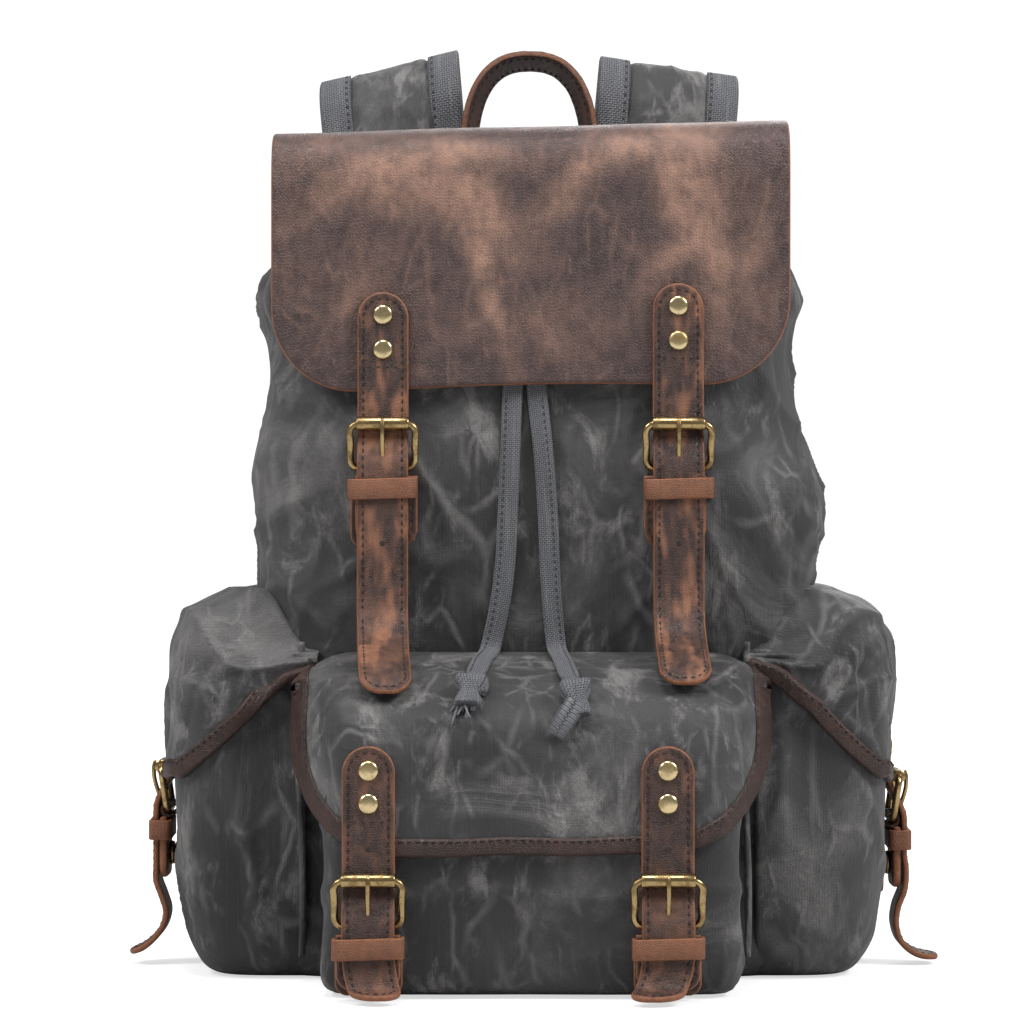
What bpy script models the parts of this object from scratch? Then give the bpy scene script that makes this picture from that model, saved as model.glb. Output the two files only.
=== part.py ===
"""Travel backpack: gathered canvas body, leather flap, three outside pockets with buckled flaps.

Metres, +Z up, front towards -Y. The origin is on the floor, under the middle of the whole bag.
A seat is a function that turns (across, outwards, up), measured on a face of the bag, into a place.
"""
import math

import bmesh
import bpy
from mathutils import Matrix, Vector

# Clearances
GAP = 0.0003                  # between pieces that lie on each other
THREADING = 0.0007            # beside a strap in its loop, or a prong in its slot

# Body
BODY_HALF_WIDTH = 0.142
BODY_HALF_DEPTH = 0.080
BODY_HEIGHT = 0.400           # floor to the gathered mouth
BODY_POWER = 5.0              # how square the plan outline is
BODY_RING_POINTS = 28
CANVAS = 0.0022
LINING = 0.0010
BASE_BOARD = 0.003
HEM_HEIGHT = 0.011
HEM_THICKNESS = 0.005

# Laptop sleeve and back pad
SLEEVE_HALF_WIDTH = 0.105
SLEEVE_DEPTH = 0.025
SLEEVE_FROM_BACK = 0.025
SLEEVE_HEIGHT = 0.275
SLEEVE_WALL = 0.003
PAD_HALF_WIDTH = 0.086
PAD_THICKNESS = 0.0077
PAD_BOTTOM = 0.040
PAD_BELOW_MOUTH = 0.030

# Flaps
FLAP_THICKNESS = 0.003
FLAP_HALF_WIDTH = 0.127
FLAP_CORNER = 0.042
FLAP_DROP = 0.1095            # mouth down to the flap's edge
FLAP_OVER_MOUTH = 0.019       # middle of the flap above the mouth
POCKET_FLAP_HALF_WIDTH = 0.112
POCKET_FLAP_CORNER = 0.052
POCKET_FLAP_RISE = 0.024      # flap's seam above the pocket's rim
POCKET_FLAP_DROP = 0.088      # seam down to the flap's edge
SIDE_FLAP_HALF_WIDTH = 0.070
SIDE_FLAP_CORNER = 0.036
SIDE_FLAP_RISE = 0.0385
SIDE_FLAP_DROP = 0.092

# Pockets
FRONT_POCKET_HALF_WIDTH = 0.0995
FRONT_POCKET_DEPTH = 0.0742
FRONT_POCKET_HEIGHT = 0.135
SIDE_POCKET_HALF_WIDTH = 0.066
SIDE_POCKET_DEPTH = 0.0342
SIDE_POCKET_HEIGHT = 0.152
POCKET_POWER = 6.0
POCKET_RING_POINTS = 20

# Straps, tabs and buckles
STRAP_WIDTH = 0.025
STRAP_THICKNESS = 0.003
STRAP_TIP = 0.010
TAB_LAYER = 0.0022
TAB_MARGIN = 0.0027           # tab beyond the strap, each side
TAB_CORNER = 0.008
PATCH_THICKNESS = 0.0022
PATCH_MARGIN = 0.0008         # patch beyond the tab, each side
PATCH_CORNER = 0.006
PATCH_LENGTH = 0.028
SNAP_HEIGHT = 0.0045
SNAP_RADIUS = 0.006
WIRE = 0.0036
FRAME_MARGIN = 0.0050         # buckle frame beyond the strap, each side
BAR_SPACING = 0.0220
FRAME_CORNER = 0.0030
ROLLER_DIAMETER = 0.0070
PRONG = 0.0022
KEEPER_THICKNESS = 0.0015
KEEPER_HEIGHT = 0.0100
SLOT_LENGTH = 0.0150
ROUND_SIDES = 16

# Handle, shoulder straps and their lower webbing
HANDLE_HALF_SPAN = 0.0325
HANDLE_RISE = 0.0600
HANDLE_THICKNESS = 0.006
HANDLE_DEPTH = 0.018
HANDLE_FROM_FLAP = 0.0030
SHOULDER_OFFSET = 0.0715
SHOULDER_HALF_WIDTH = 0.0345
SHOULDER_THICKNESS = 0.008
WEBBING_WIDTH = 0.025
WEBBING_THICKNESS = 0.002
SLIDER_LENGTH = 0.014
SLIDER_WALL = 0.003
SLIDER_FROM_TOP = 0.020

# Drawstring
CORD_RADIUS = 0.0015
KNOT_SWELL = 3.6              # knot radius over cord radius

# Straps: places across, and heights measured from the edge of the flap each one closes
MAIN_STRAPS = {"left": -0.0722, "right": 0.0720}
MAIN_TOPS = {"left": 0.0462, "right": 0.0506}
MAIN_ROLLER = -0.0182
MAIN_TAB_END = -0.0772
MAIN_SNAP = -0.0645
POCKET_STRAPS = {"left": -0.0766, "right": 0.0640}
POCKET_STRAP_TOP = 0.0485
POCKET_ROLLER = -0.0143
POCKET_TAB_END = -0.0660
POCKET_SNAP = -0.0550
SIDE_TOPS = {"left": 0.0425, "right": 0.0376}
SIDE_ROLLERS = {"left": 0.0019, "right": -0.0032}
SIDE_TAB_END = -0.0564        # from the roller
SIDE_SNAP = -0.0444           # from the roller

# Faces and levels that the pieces share
FLAP_BOTTOM = BODY_HEIGHT - FLAP_DROP
POCKET_FLAP_TOP = FRONT_POCKET_HEIGHT + POCKET_FLAP_RISE
POCKET_FLAP_BOTTOM = POCKET_FLAP_TOP - POCKET_FLAP_DROP
SIDE_FLAP_TOP = SIDE_POCKET_HEIGHT + SIDE_FLAP_RISE
SIDE_FLAP_BOTTOM = SIDE_FLAP_TOP - SIDE_FLAP_DROP
TAB_WIDTH = STRAP_WIDTH + 2 * TAB_MARGIN
PATCH_WIDTH = TAB_WIDTH + 2 * PATCH_MARGIN
FRAME_WIDTH = STRAP_WIDTH + 2 * FRAME_MARGIN
BODY_FACE = -BODY_HALF_DEPTH
POCKET_FACE = BODY_FACE - GAP - FRONT_POCKET_DEPTH
SIDE_FACE = BODY_HALF_WIDTH + GAP + SIDE_POCKET_DEPTH
FLAP_LEVEL = GAP + FLAP_THICKNESS / 2
STRAP_HIGH = 2 * GAP + FLAP_THICKNESS + STRAP_THICKNESS / 2
ROLLER_LEVEL = STRAP_HIGH + STRAP_THICKNESS / 2 + GAP + ROLLER_DIAMETER / 2
TAB_BACK = GAP + PATCH_THICKNESS + SNAP_HEIGHT
TAB_FRONT = TAB_BACK + 2 * TAB_LAYER
LOOP_RADIUS = WIRE / 2 + GAP + TAB_LAYER
HEEL_LEVEL = TAB_FRONT - LOOP_RADIUS
STRAP_LOW = TAB_FRONT + GAP + STRAP_THICKNESS / 2
LOOP_WIDTH = FRAME_WIDTH - WIRE - 2 * FRAME_CORNER - 2 * GAP
BAR_DROP = math.sqrt(BAR_SPACING ** 2 - (ROLLER_LEVEL - HEEL_LEVEL) ** 2)
PRONG_RING = WIRE / 2 + GAP + PRONG / 2

# Hinge lines
FLAP_HINGE = Vector((0.0, BODY_HALF_DEPTH - 0.0015, BODY_HEIGHT + FLAP_OVER_MOUTH - 0.0025))
POCKET_HINGE = Vector((0.0, BODY_FACE - 0.0040, POCKET_FLAP_TOP + 0.0025))
SIDE_HINGE_OUT = BODY_HALF_WIDTH + 0.0025
HANDLE_HINGE = Vector((0.0, FLAP_HINGE.y + HANDLE_FROM_FLAP + HANDLE_DEPTH / 2, BODY_HEIGHT + 0.010))
SHOULDER_HINGE = Vector((0.0, BODY_HALF_DEPTH + 0.0060, BODY_HEIGHT - 0.0120))

# Looks: colour, roughness, metallic
LEATHER_LOOK = ((0.080, 0.040, 0.025, 1.0), 0.60, 0.0)
CANVAS_LOOK = ((0.055, 0.055, 0.062, 1.0), 0.90, 0.0)
WEBBING_LOOK = ((0.150, 0.150, 0.155, 1.0), 0.90, 0.0)
LINING_LOOK = ((0.300, 0.240, 0.170, 1.0), 0.90, 0.0)
BRASS_LOOK = ((0.480, 0.350, 0.160, 1.0), 0.35, 1.0)
BOARD_LOOK = ((0.030, 0.030, 0.030, 1.0), 0.70, 0.0)


class Pivot:
    """An empty on a joint's axis, with its place in the bag's own frame."""

    def __init__(self, name, place, parent=None):
        self.place = Vector(place)
        self.empty = bpy.data.objects.new("pivot_" + name, None)
        self.empty.location = self.place
        bpy.context.collection.objects.link(self.empty)
        if parent:
            parent.hold(self.empty)

    def hold(self, piece):
        piece.parent = self.empty
        piece.matrix_parent_inverse = Matrix.Translation(-self.place)


def show(name, data, look, pivot=None):
    """Link a piece under its own name and material, and hang it on its pivot where it stands."""
    piece = bpy.data.objects.new(name, data)
    colour, roughness, metallic = look
    material = bpy.data.materials.new(name + "_finish")
    material.use_nodes = True
    shader = material.node_tree.nodes["Principled BSDF"]
    shader.inputs["Base Color"].default_value = colour
    shader.inputs["Roughness"].default_value = roughness
    shader.inputs["Metallic"].default_value = metallic
    data.materials.append(material)
    bpy.context.collection.objects.link(piece)
    if pivot:
        pivot.hold(piece)
    return piece


def combine(piece, other, operation):
    """Join another shape to a piece, or cut it away, with the shape itself kept out of the model."""
    other.hide_render = True
    other.display_type = "WIRE"
    other.parent = piece.parent
    other.matrix_parent_inverse = piece.matrix_parent_inverse
    change = piece.modifiers.new(other.name, "BOOLEAN")
    change.operation = operation
    change.solver = "EXACT"
    change.object = other


def loft(name, rings, closed=False, smooth=True):
    """A closed mesh through rings of points, capped at both ends or joined into a hoop."""
    count = len(rings[0])
    points = [point for ring in rings for point in ring]
    pairs = len(rings) if closed else len(rings) - 1
    faces = []
    for row in range(pairs):
        here, there = row * count, (row + 1) % len(rings) * count
        for k in range(count):
            nxt = (k + 1) % count
            faces.append((here + k, here + nxt, there + nxt, there + k))
    if not closed:
        faces.append(tuple(range(count))[::-1])
        faces.append(tuple(range(len(points) - count, len(points))))
    mesh = bpy.data.meshes.new(name)
    mesh.from_pydata(points, [], faces)
    work = bmesh.new()
    work.from_mesh(mesh)
    bmesh.ops.recalc_face_normals(work, faces=work.faces)
    work.to_mesh(mesh)
    work.free()
    if smooth:
        mesh.shade_smooth()
        mesh.set_sharp_from_angle(angle=math.radians(40))
    return mesh


def smooth(points, steps=6):
    """Points along a smooth curve through the given ones."""
    points = [Vector(point) for point in points]
    ends = [2 * points[0] - points[1]] + points + [2 * points[-1] - points[-2]]
    curve = []
    for before, start, end, after in zip(ends, ends[1:], ends[2:], ends[3:]):
        for k in range(steps):
            t = k / steps
            bend = (2 * before - 5 * start + 4 * end - after) * t * t
            curl = (3 * start - before - 3 * end + after) * t ** 3
            curve.append((2 * start + (end - before) * t + bend + curl) / 2)
    curve.append(points[-1])
    return curve


def lengths_along(path):
    total = [0.0]
    for start, end in zip(path, path[1:]):
        total.append(total[-1] + (end - start).length)
    return total


def place_along(path, distance):
    """The point at a distance along a path, and the path's direction there."""
    total = lengths_along(path)
    for k in range(len(path) - 1):
        if distance <= total[k + 1] or k == len(path) - 2:
            share = (distance - total[k]) / (total[k + 1] - total[k])
            return path[k].lerp(path[k + 1], share), (path[k + 1] - path[k]).normalized()


def strip(name, seat, path, half_width, thickness, corner=0.0, rows=16):
    """A flat strip along a path of (across, outwards, up) points, its far corners rounded."""
    path = [Vector(point) for point in path]
    length = lengths_along(path)[-1]
    stops = [(length - corner) * k / rows for k in range(rows + 1)]
    widths = [half_width] * len(stops)
    for k in range(1, 5 if corner else 0):
        turn = math.radians(22.5 * k)
        stops.append(length - corner + corner * math.sin(turn))
        widths.append(half_width - corner + corner * math.cos(turn))
    rings = []
    for stop, width in zip(stops, widths):
        middle, along = place_along(path, stop)
        rise = Vector((0.0, along.z, -along.y)).normalized() * thickness / 2
        side = Vector((width, 0.0, 0.0))
        ring = (middle - side - rise, middle + side - rise, middle + side + rise, middle - side + rise)
        rings.append([seat(*corner_point) for corner_point in ring])
    return loft(name, rings, smooth=False)


def oval(half_x, half_y, centre_y, height, power, count):
    """A squared oval of points round an upright axis."""
    ring = []
    for k in range(count):
        turn = 2 * math.pi * (k + 0.5) / count
        x = math.copysign(abs(math.cos(turn)) ** (2 / power), math.cos(turn)) * half_x
        y = math.copysign(abs(math.sin(turn)) ** (2 / power), math.sin(turn)) * half_y
        ring.append(Vector((x, centre_y + y, height)))
    return ring


# How far the body's sides, front and back draw in at each height
BODY_SHAPE = (
    (0.000, 0.014, 0.012, 0.010),
    (0.004, 0.008, 0.006, 0.005),
    (0.014, 0.002, 0.001, 0.001),
    (0.050, 0.000, 0.000, 0.000),
    (BODY_HEIGHT - 0.150, 0.000, 0.000, 0.000),
    (BODY_HEIGHT - 0.100, 0.005, 0.006, 0.000),
    (BODY_HEIGHT - 0.065, 0.006, 0.012, 0.001),
    (BODY_HEIGHT - 0.035, 0.018, 0.020, 0.002),
    (BODY_HEIGHT - 0.010, 0.032, 0.028, 0.003),
    (BODY_HEIGHT, 0.036, 0.030, 0.003),
)


def body_insets(height):
    for low, high in zip(BODY_SHAPE, BODY_SHAPE[1:]):
        if height <= high[0]:
            break
    share = (height - low[0]) / (high[0] - low[0])
    return [a + (b - a) * share for a, b in zip(low[1:], high[1:])]


def body_ring(height, inset):
    """The body's outline at a height, drawn in by an inset all round."""
    side, front, back = body_insets(height)
    half_y = BODY_HALF_DEPTH - (front + back) / 2 - inset
    half_x = BODY_HALF_WIDTH - side - inset
    return oval(half_x, half_y, (front - back) / 2, height, BODY_POWER, BODY_RING_POINTS)


def body_bag(name, inset, wall, floor, rim, look):
    """One skin of the body: outside rings up to its rim, then inside rings down to its floor."""
    levels = [level for level, *_ in BODY_SHAPE if floor < level < rim]
    outside = [body_ring(level, inset) for level in [floor] + levels + [rim]]
    inner_levels = [level for level in levels if level > floor + wall]
    inside = [body_ring(level, inset + wall) for level in [rim] + inner_levels[::-1] + [floor + wall]]
    return show(name, loft(name, outside + inside), look)


def build_body():
    body_bag("body_shell", 0.0, CANVAS, 0.0, BODY_HEIGHT, CANVAS_LOOK)
    lining_floor = CANVAS + GAP
    lining_inset = CANVAS + GAP
    body_bag("body_lining", lining_inset, LINING, lining_floor, BODY_HEIGHT - 0.008, LINING_LOOK)

    board_floor = lining_floor + LINING + GAP
    board_top = board_floor + BASE_BOARD
    board_inset = lining_inset + LINING + 0.004
    board = []
    for level in (board_floor, board_top):
        side, front, back = body_insets(board_floor)
        half_y = BODY_HALF_DEPTH - (front + back) / 2 - board_inset
        half_x = BODY_HALF_WIDTH - side - board_inset
        board.append(oval(half_x, half_y, 0.0, level, BODY_POWER, BODY_RING_POINTS))
    show("base_board", loft("base_board", board), BOARD_LOOK)
    build_sleeve(board_top + GAP)

    hem = []
    corners = ((0.0, GAP), (0.0, HEM_HEIGHT), (HEM_THICKNESS, HEM_HEIGHT), (HEM_THICKNESS, GAP))
    for inset, rise in corners:
        ring = body_ring(BODY_HEIGHT, inset - (HEM_THICKNESS - CANVAS) / 2)
        hem.append([point + Vector((0.0, 0.0, rise)) for point in ring])
    show("drawstring_hem", loft("drawstring_hem", hem, closed=True), CANVAS_LOOK)


def build_sleeve(floor):
    """An open-topped padded pocket for a laptop, standing in front of the back wall."""
    back = BODY_HALF_DEPTH - SLEEVE_FROM_BACK
    levels = ((floor, 0.0), (floor + SLEEVE_HEIGHT, 0.0))
    levels += ((floor + SLEEVE_HEIGHT, SLEEVE_WALL), (floor + SLEEVE_WALL, SLEEVE_WALL))
    rings = []
    for level, inset in levels:
        x = SLEEVE_HALF_WIDTH - inset
        near, far = back - SLEEVE_DEPTH + inset, back - inset
        corners = ((-x, near), (x, near), (x, far), (-x, far))
        rings.append([Vector((across, deep, level)) for across, deep in corners])
    show("laptop_sleeve", loft("laptop_sleeve", rings, smooth=False), LINING_LOOK)


def build_back_pad():
    """A padded panel that lies flat on the middle of the back wall."""
    near = BODY_HALF_DEPTH + GAP
    far = near + PAD_THICKNESS
    x = PAD_HALF_WIDTH
    rings = []
    for level in (PAD_BOTTOM, BODY_HEIGHT - PAD_BELOW_MOUTH):
        corners = ((-x, near), (x, near), (x, far), (-x, far))
        rings.append([Vector((across, deep, level)) for across, deep in corners])
    show("back_pad", loft("back_pad", rings, smooth=False), CANVAS_LOOK)


def pocket(name, half_width, depth, levels, place):
    """An open-topped pocket. Each level has a height and how far its front and sides draw in."""
    rings = []
    rim = levels[-1]
    inner = [(level[0], level[1], CANVAS) for level in levels[::-1] if level[0] > 3 * CANVAS]
    inner.append((levels[0][0] + CANVAS, levels[1][1], CANVAS))
    for height, draw, inset in [(*level, 0.0) for level in levels] + [(*rim, CANVAS)] + inner[1:]:
        half_depth = (depth - draw) / 2 - inset
        ring = oval(half_width - draw / 2 - inset, half_depth, (depth - draw) / 2, height, POCKET_POWER,
                    POCKET_RING_POINTS)
        rings.append([place(*point) for point in ring])
    show(name, loft(name, rings), CANVAS_LOOK)


def build_pockets():
    front_levels = ((0.001, 0.010), (0.010, 0.002), (0.030, 0.0), (0.100, 0.0),
                    (FRONT_POCKET_HEIGHT - 0.010, 0.006), (FRONT_POCKET_HEIGHT, 0.014))
    pocket("front_pocket", FRONT_POCKET_HALF_WIDTH, FRONT_POCKET_DEPTH, front_levels,
           lambda across, out, up: Vector((across, BODY_FACE - GAP - out, up)))
    side_levels = ((0.001, 0.022), (0.008, 0.010), (0.024, 0.0), (0.120, 0.0), (SIDE_POCKET_HEIGHT, 0.004))
    for side, sign in (("left", -1), ("right", 1)):
        pocket("side_pocket_" + side, SIDE_POCKET_HALF_WIDTH, SIDE_POCKET_DEPTH, side_levels,
               lambda across, out, up, s=sign: Vector((s * (BODY_HALF_WIDTH + GAP + out), across, up)))


def front_seat(x, face):
    return lambda across, out, up: Vector((x + across, face - out, up))


def side_seat(sign):
    return lambda across, out, up: Vector((sign * (SIDE_FACE + out), across, up))


def build_flaps():
    """The four flaps, each a bent sheet from its seam to its rounded lower corners."""
    middle = BODY_HEIGHT + FLAP_OVER_MOUTH
    front = -BODY_FACE + FLAP_LEVEL
    over = [(-FLAP_HINGE.y, FLAP_HINGE.z), (-front / 2, middle - 0.0005), (0.37 * front, middle),
            (front - 0.020, middle - 0.001), (front - 0.006, middle - 0.007), (front - 0.0005, middle - 0.020),
            (front, middle - 0.045), (front, FLAP_BOTTOM)]
    main = Pivot("main_flap", FLAP_HINGE)
    path = smooth([(0.0, out, up) for out, up in over])
    show("main_flap", strip("main_flap", front_seat(0.0, 0.0), path, FLAP_HALF_WIDTH, FLAP_THICKNESS,
                            FLAP_CORNER, 30), LEATHER_LOOK, main)

    face = -POCKET_FACE + FLAP_LEVEL
    root = -BODY_FACE + 0.0006
    top = POCKET_FLAP_TOP
    over = [(root, top), (root + 0.32 * (face - root), top - 0.0055), (root + 0.65 * (face - root), top - 0.0135),
            (face - 0.008, top - 0.025), (face - 0.0015, top - 0.038), (face, top - 0.050),
            (face, POCKET_FLAP_BOTTOM)]
    low = Pivot("front_pocket_flap", POCKET_HINGE)
    path = smooth([(0.0, out, up) for out, up in over])
    show("front_pocket_flap", strip("front_pocket_flap", front_seat(0.0, 0.0), path, POCKET_FLAP_HALF_WIDTH,
                                    FLAP_THICKNESS, POCKET_FLAP_CORNER, 24), CANVAS_LOOK, low)

    pivots = {"main": main, "pocket": low}
    start = BODY_HALF_WIDTH + GAP + 0.0005 - SIDE_FACE
    top = SIDE_FLAP_TOP
    over = [(start, top), (start + 0.42 * (FLAP_LEVEL - start), top - 0.005), (FLAP_LEVEL - 0.008, top - 0.017),
            (FLAP_LEVEL - 0.001, top - 0.031), (FLAP_LEVEL, top - 0.048), (FLAP_LEVEL, SIDE_FLAP_BOTTOM)]
    for side, sign in (("left", -1), ("right", 1)):
        name = "side_flap_" + side
        pivots[side] = Pivot(name, (sign * SIDE_HINGE_OUT, 0.0, SIDE_FLAP_TOP))
        path = smooth([(0.0, out, up) for out, up in over])
        show(name, strip(name, side_seat(sign), path, SIDE_FLAP_HALF_WIDTH, FLAP_THICKNESS, SIDE_FLAP_CORNER, 20),
             CANVAS_LOOK, pivots[side])
    return pivots


def rod(seat, radius, across, centre):
    """The two end rings of a round bar lying across a seat."""
    rings = []
    for x in across:
        turns = [2 * math.pi * k / ROUND_SIDES for k in range(ROUND_SIDES)]
        rings.append([seat(x, centre[0] + radius * math.cos(t), centre[1] + radius * math.sin(t)) for t in turns])
    return rings


def stud(name, seat, levels, up):
    """Half of a snap, standing out from its leather."""
    turns = [2 * math.pi * k / ROUND_SIDES for k in range(ROUND_SIDES)]
    rings = [[seat(SNAP_RADIUS * math.cos(t), out, up + SNAP_RADIUS * math.sin(t)) for t in turns]
             for out in levels]
    return show(name, loft(name, rings), BRASS_LOOK)


def block(name, seat, across, out, up):
    """A plain box on a seat, as a shape to join or cut."""
    rings = [[seat(x, out[0], z), seat(x, out[1], z)] for x in across for z in up]
    rings = [rings[0] + rings[1][::-1], rings[2] + rings[3][::-1]]
    return show(name, loft(name, rings, smooth=False), BOARD_LOOK)


def wire_curve(name, points, depth, cyclic, resolution, look, pivot):
    """A round wire along a list of places."""
    curve = bpy.data.curves.new(name, "CURVE")
    curve.dimensions = "3D"
    curve.bevel_depth = depth
    curve.bevel_resolution = resolution
    curve.use_fill_caps = True
    spline = curve.splines.new("POLY")
    spline.points.add(len(points) - 1)
    for target, place in zip(spline.points, points):
        target.co = (*place, 1.0)
    spline.use_cyclic_u = cyclic
    return show(name, curve, look, pivot)


def build_buckle(place, side, seat, flap, strap_top, roller, tab_end, snap, tail):
    """A strap with its roller buckle, its tab with a keeper and half a snap, and the other half's patch.

    Heights are on the seat: strap_top, the roller's middle, the tab's end and the snap's middle.
    tail holds the strap's own points below the keeper.
    """
    heel = roller - BAR_DROP
    piece = lambda kind: "_".join((place, kind, side))

    upper = [(0.0, STRAP_HIGH, strap_top), (0.0, STRAP_HIGH, (strap_top + roller) / 2)]
    crossing = roller + 0.001 - heel
    for share in (0.0, 0.2, 0.4, 0.6, 0.8, 1.0):
        rise = share * share * (3 - 2 * share)
        upper.append((0.0, STRAP_HIGH + (STRAP_LOW - STRAP_HIGH) * rise, roller + 0.001 - crossing * share))
    path = smooth(upper + tail, 4)
    strap = show(piece("strap"), strip(piece("strap"), seat, path, STRAP_WIDTH / 2, STRAP_THICKNESS, STRAP_TIP, 26),
                 LEATHER_LOOK, flap)
    slot_half = PRONG / 2 + 2 * THREADING
    slot = block(piece("slot"), seat, (-slot_half, slot_half), (0.0, STRAP_LOW + 0.005),
                 (heel - 0.001, heel - 0.001 + SLOT_LENGTH))
    combine(strap, slot, "DIFFERENCE")

    shoulder = heel - LOOP_RADIUS - THREADING
    tab_path = [(0.0, TAB_BACK + TAB_LAYER, shoulder), (0.0, TAB_BACK + TAB_LAYER, tab_end)]
    tab = show(piece("tab"), strip(piece("tab"), seat, tab_path, TAB_WIDTH / 2, 2 * TAB_LAYER, TAB_CORNER, 2),
               LEATHER_LOOK, flap)
    neck = block(piece("neck"), seat, (-LOOP_WIDTH / 2, LOOP_WIDTH / 2), (TAB_BACK + 0.0001, TAB_FRONT - 0.0001),
                 (shoulder - 0.002, heel))
    combine(tab, neck, "UNION")
    loop = loft(piece("loop"), rod(seat, LOOP_RADIUS, (-LOOP_WIDTH / 2, LOOP_WIDTH / 2), (HEEL_LEVEL, heel)))
    combine(tab, show(piece("loop"), loop, LEATHER_LOOK), "UNION")
    hole = loft(piece("hole"), rod(seat, WIRE / 2 + GAP, (-TAB_WIDTH, TAB_WIDTH), (HEEL_LEVEL, heel)))
    combine(tab, show(piece("hole"), hole, LEATHER_LOOK), "DIFFERENCE")
    cut_half = PRONG / 2 + THREADING
    reach = PRONG_RING + PRONG / 2 + THREADING
    cut = block(piece("cut"), seat, (-cut_half, cut_half), (HEEL_LEVEL - reach, HEEL_LEVEL + reach),
                (heel - reach, heel + reach))
    combine(tab, cut, "DIFFERENCE")
    combine(tab, stud(piece("stud"), seat, (TAB_BACK - SNAP_HEIGHT / 2 + GAP / 2, TAB_BACK + TAB_LAYER / 2), snap),
            "UNION")
    keeper_in = STRAP_WIDTH / 2 + THREADING
    keeper_out = TAB_WIDTH / 2 - 0.0001
    inside = STRAP_LOW + STRAP_THICKNESS / 2 + GAP
    outside = inside + KEEPER_THICKNESS
    root = TAB_FRONT - 0.0005
    outline = ((-keeper_out, root), (-keeper_out, outside), (keeper_out, outside), (keeper_out, root),
               (keeper_in, root), (keeper_in, inside), (-keeper_in, inside), (-keeper_in, root))
    keeper_top = shoulder - THREADING
    rings = [[seat(across, out, up) for across, out in outline] for up in (keeper_top - KEEPER_HEIGHT, keeper_top)]
    keeper = loft(piece("keeper"), rings, smooth=False)
    combine(tab, show(piece("keeper"), keeper, LEATHER_LOOK), "UNION")

    patch_path = [(0.0, GAP + PATCH_THICKNESS / 2, snap + PATCH_LENGTH / 2),
                  (0.0, GAP + PATCH_THICKNESS / 2, snap - PATCH_LENGTH / 2)]
    patch = show(piece("patch"), strip(piece("patch"), seat, patch_path, PATCH_WIDTH / 2, PATCH_THICKNESS,
                                       PATCH_CORNER, 2), LEATHER_LOOK)
    combine(patch, stud(piece("socket"), seat, (GAP + PATCH_THICKNESS / 2,
                                                TAB_BACK - SNAP_HEIGHT / 2 - GAP / 2), snap), "UNION")

    heel_pivot = Pivot(piece("frame"), seat(0.0, HEEL_LEVEL, heel), flap)
    half = (FRAME_WIDTH - WIRE) / 2
    loop_points = []
    slope = (ROLLER_LEVEL - HEEL_LEVEL) / BAR_SPACING
    drop = BAR_DROP / BAR_SPACING
    for k in range(4):
        corner_x = (half - FRAME_CORNER) * (1, -1, -1, 1)[k]
        corner_v = (BAR_SPACING - FRAME_CORNER, BAR_SPACING - FRAME_CORNER, FRAME_CORNER, FRAME_CORNER)[k]
        for step in range(4):
            turn = math.radians(90 * k + 30 * step)
            across = corner_x + FRAME_CORNER * math.cos(turn)
            along = corner_v + FRAME_CORNER * math.sin(turn)
            loop_points.append(seat(across, HEEL_LEVEL + slope * along, heel + drop * along))
    wire_curve(piece("frame"), loop_points, WIRE / 2, True, 2, BRASS_LOOK, heel_pivot)

    prong_points = []
    for turn in range(150, 361, 30):
        angle = math.radians(turn)
        prong_points.append(seat(0.0, HEEL_LEVEL + PRONG_RING * math.cos(angle), heel - PRONG_RING * abs(
            math.sin(angle)) * (-1 if turn < 180 else 1)))
    tip = ROLLER_LEVEL + ROLLER_DIAMETER / 2 + THREADING + PRONG / 2
    prong_points.append(seat(0.0, (HEEL_LEVEL + PRONG_RING + tip) / 2, (heel + roller) / 2))
    prong_points.append(seat(0.0, tip, roller + 0.0015))
    prong_pivot = Pivot(piece("prong"), seat(0.0, HEEL_LEVEL, heel), heel_pivot)
    wire_curve(piece("prong"), prong_points, PRONG / 2, False, 2, BRASS_LOOK, prong_pivot)

    roller_pivot = Pivot(piece("roller"), seat(0.0, ROLLER_LEVEL, roller), heel_pivot)
    ends = (-LOOP_WIDTH / 2, LOOP_WIDTH / 2)
    outer = rod(seat, ROLLER_DIAMETER / 2, ends, (ROLLER_LEVEL, roller))
    inner = rod(seat, WIRE / 2 + GAP, ends[::-1], (ROLLER_LEVEL, roller))
    show(piece("roller"), loft(piece("roller"), outer + inner, closed=True), BRASS_LOOK, roller_pivot)


def tail_points(edge, points):
    """A strap's points below its keeper, given as (across, further out, height above the flap's edge)."""
    return [(across, STRAP_LOW + out, edge + up) for across, out, up in points]


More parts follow.
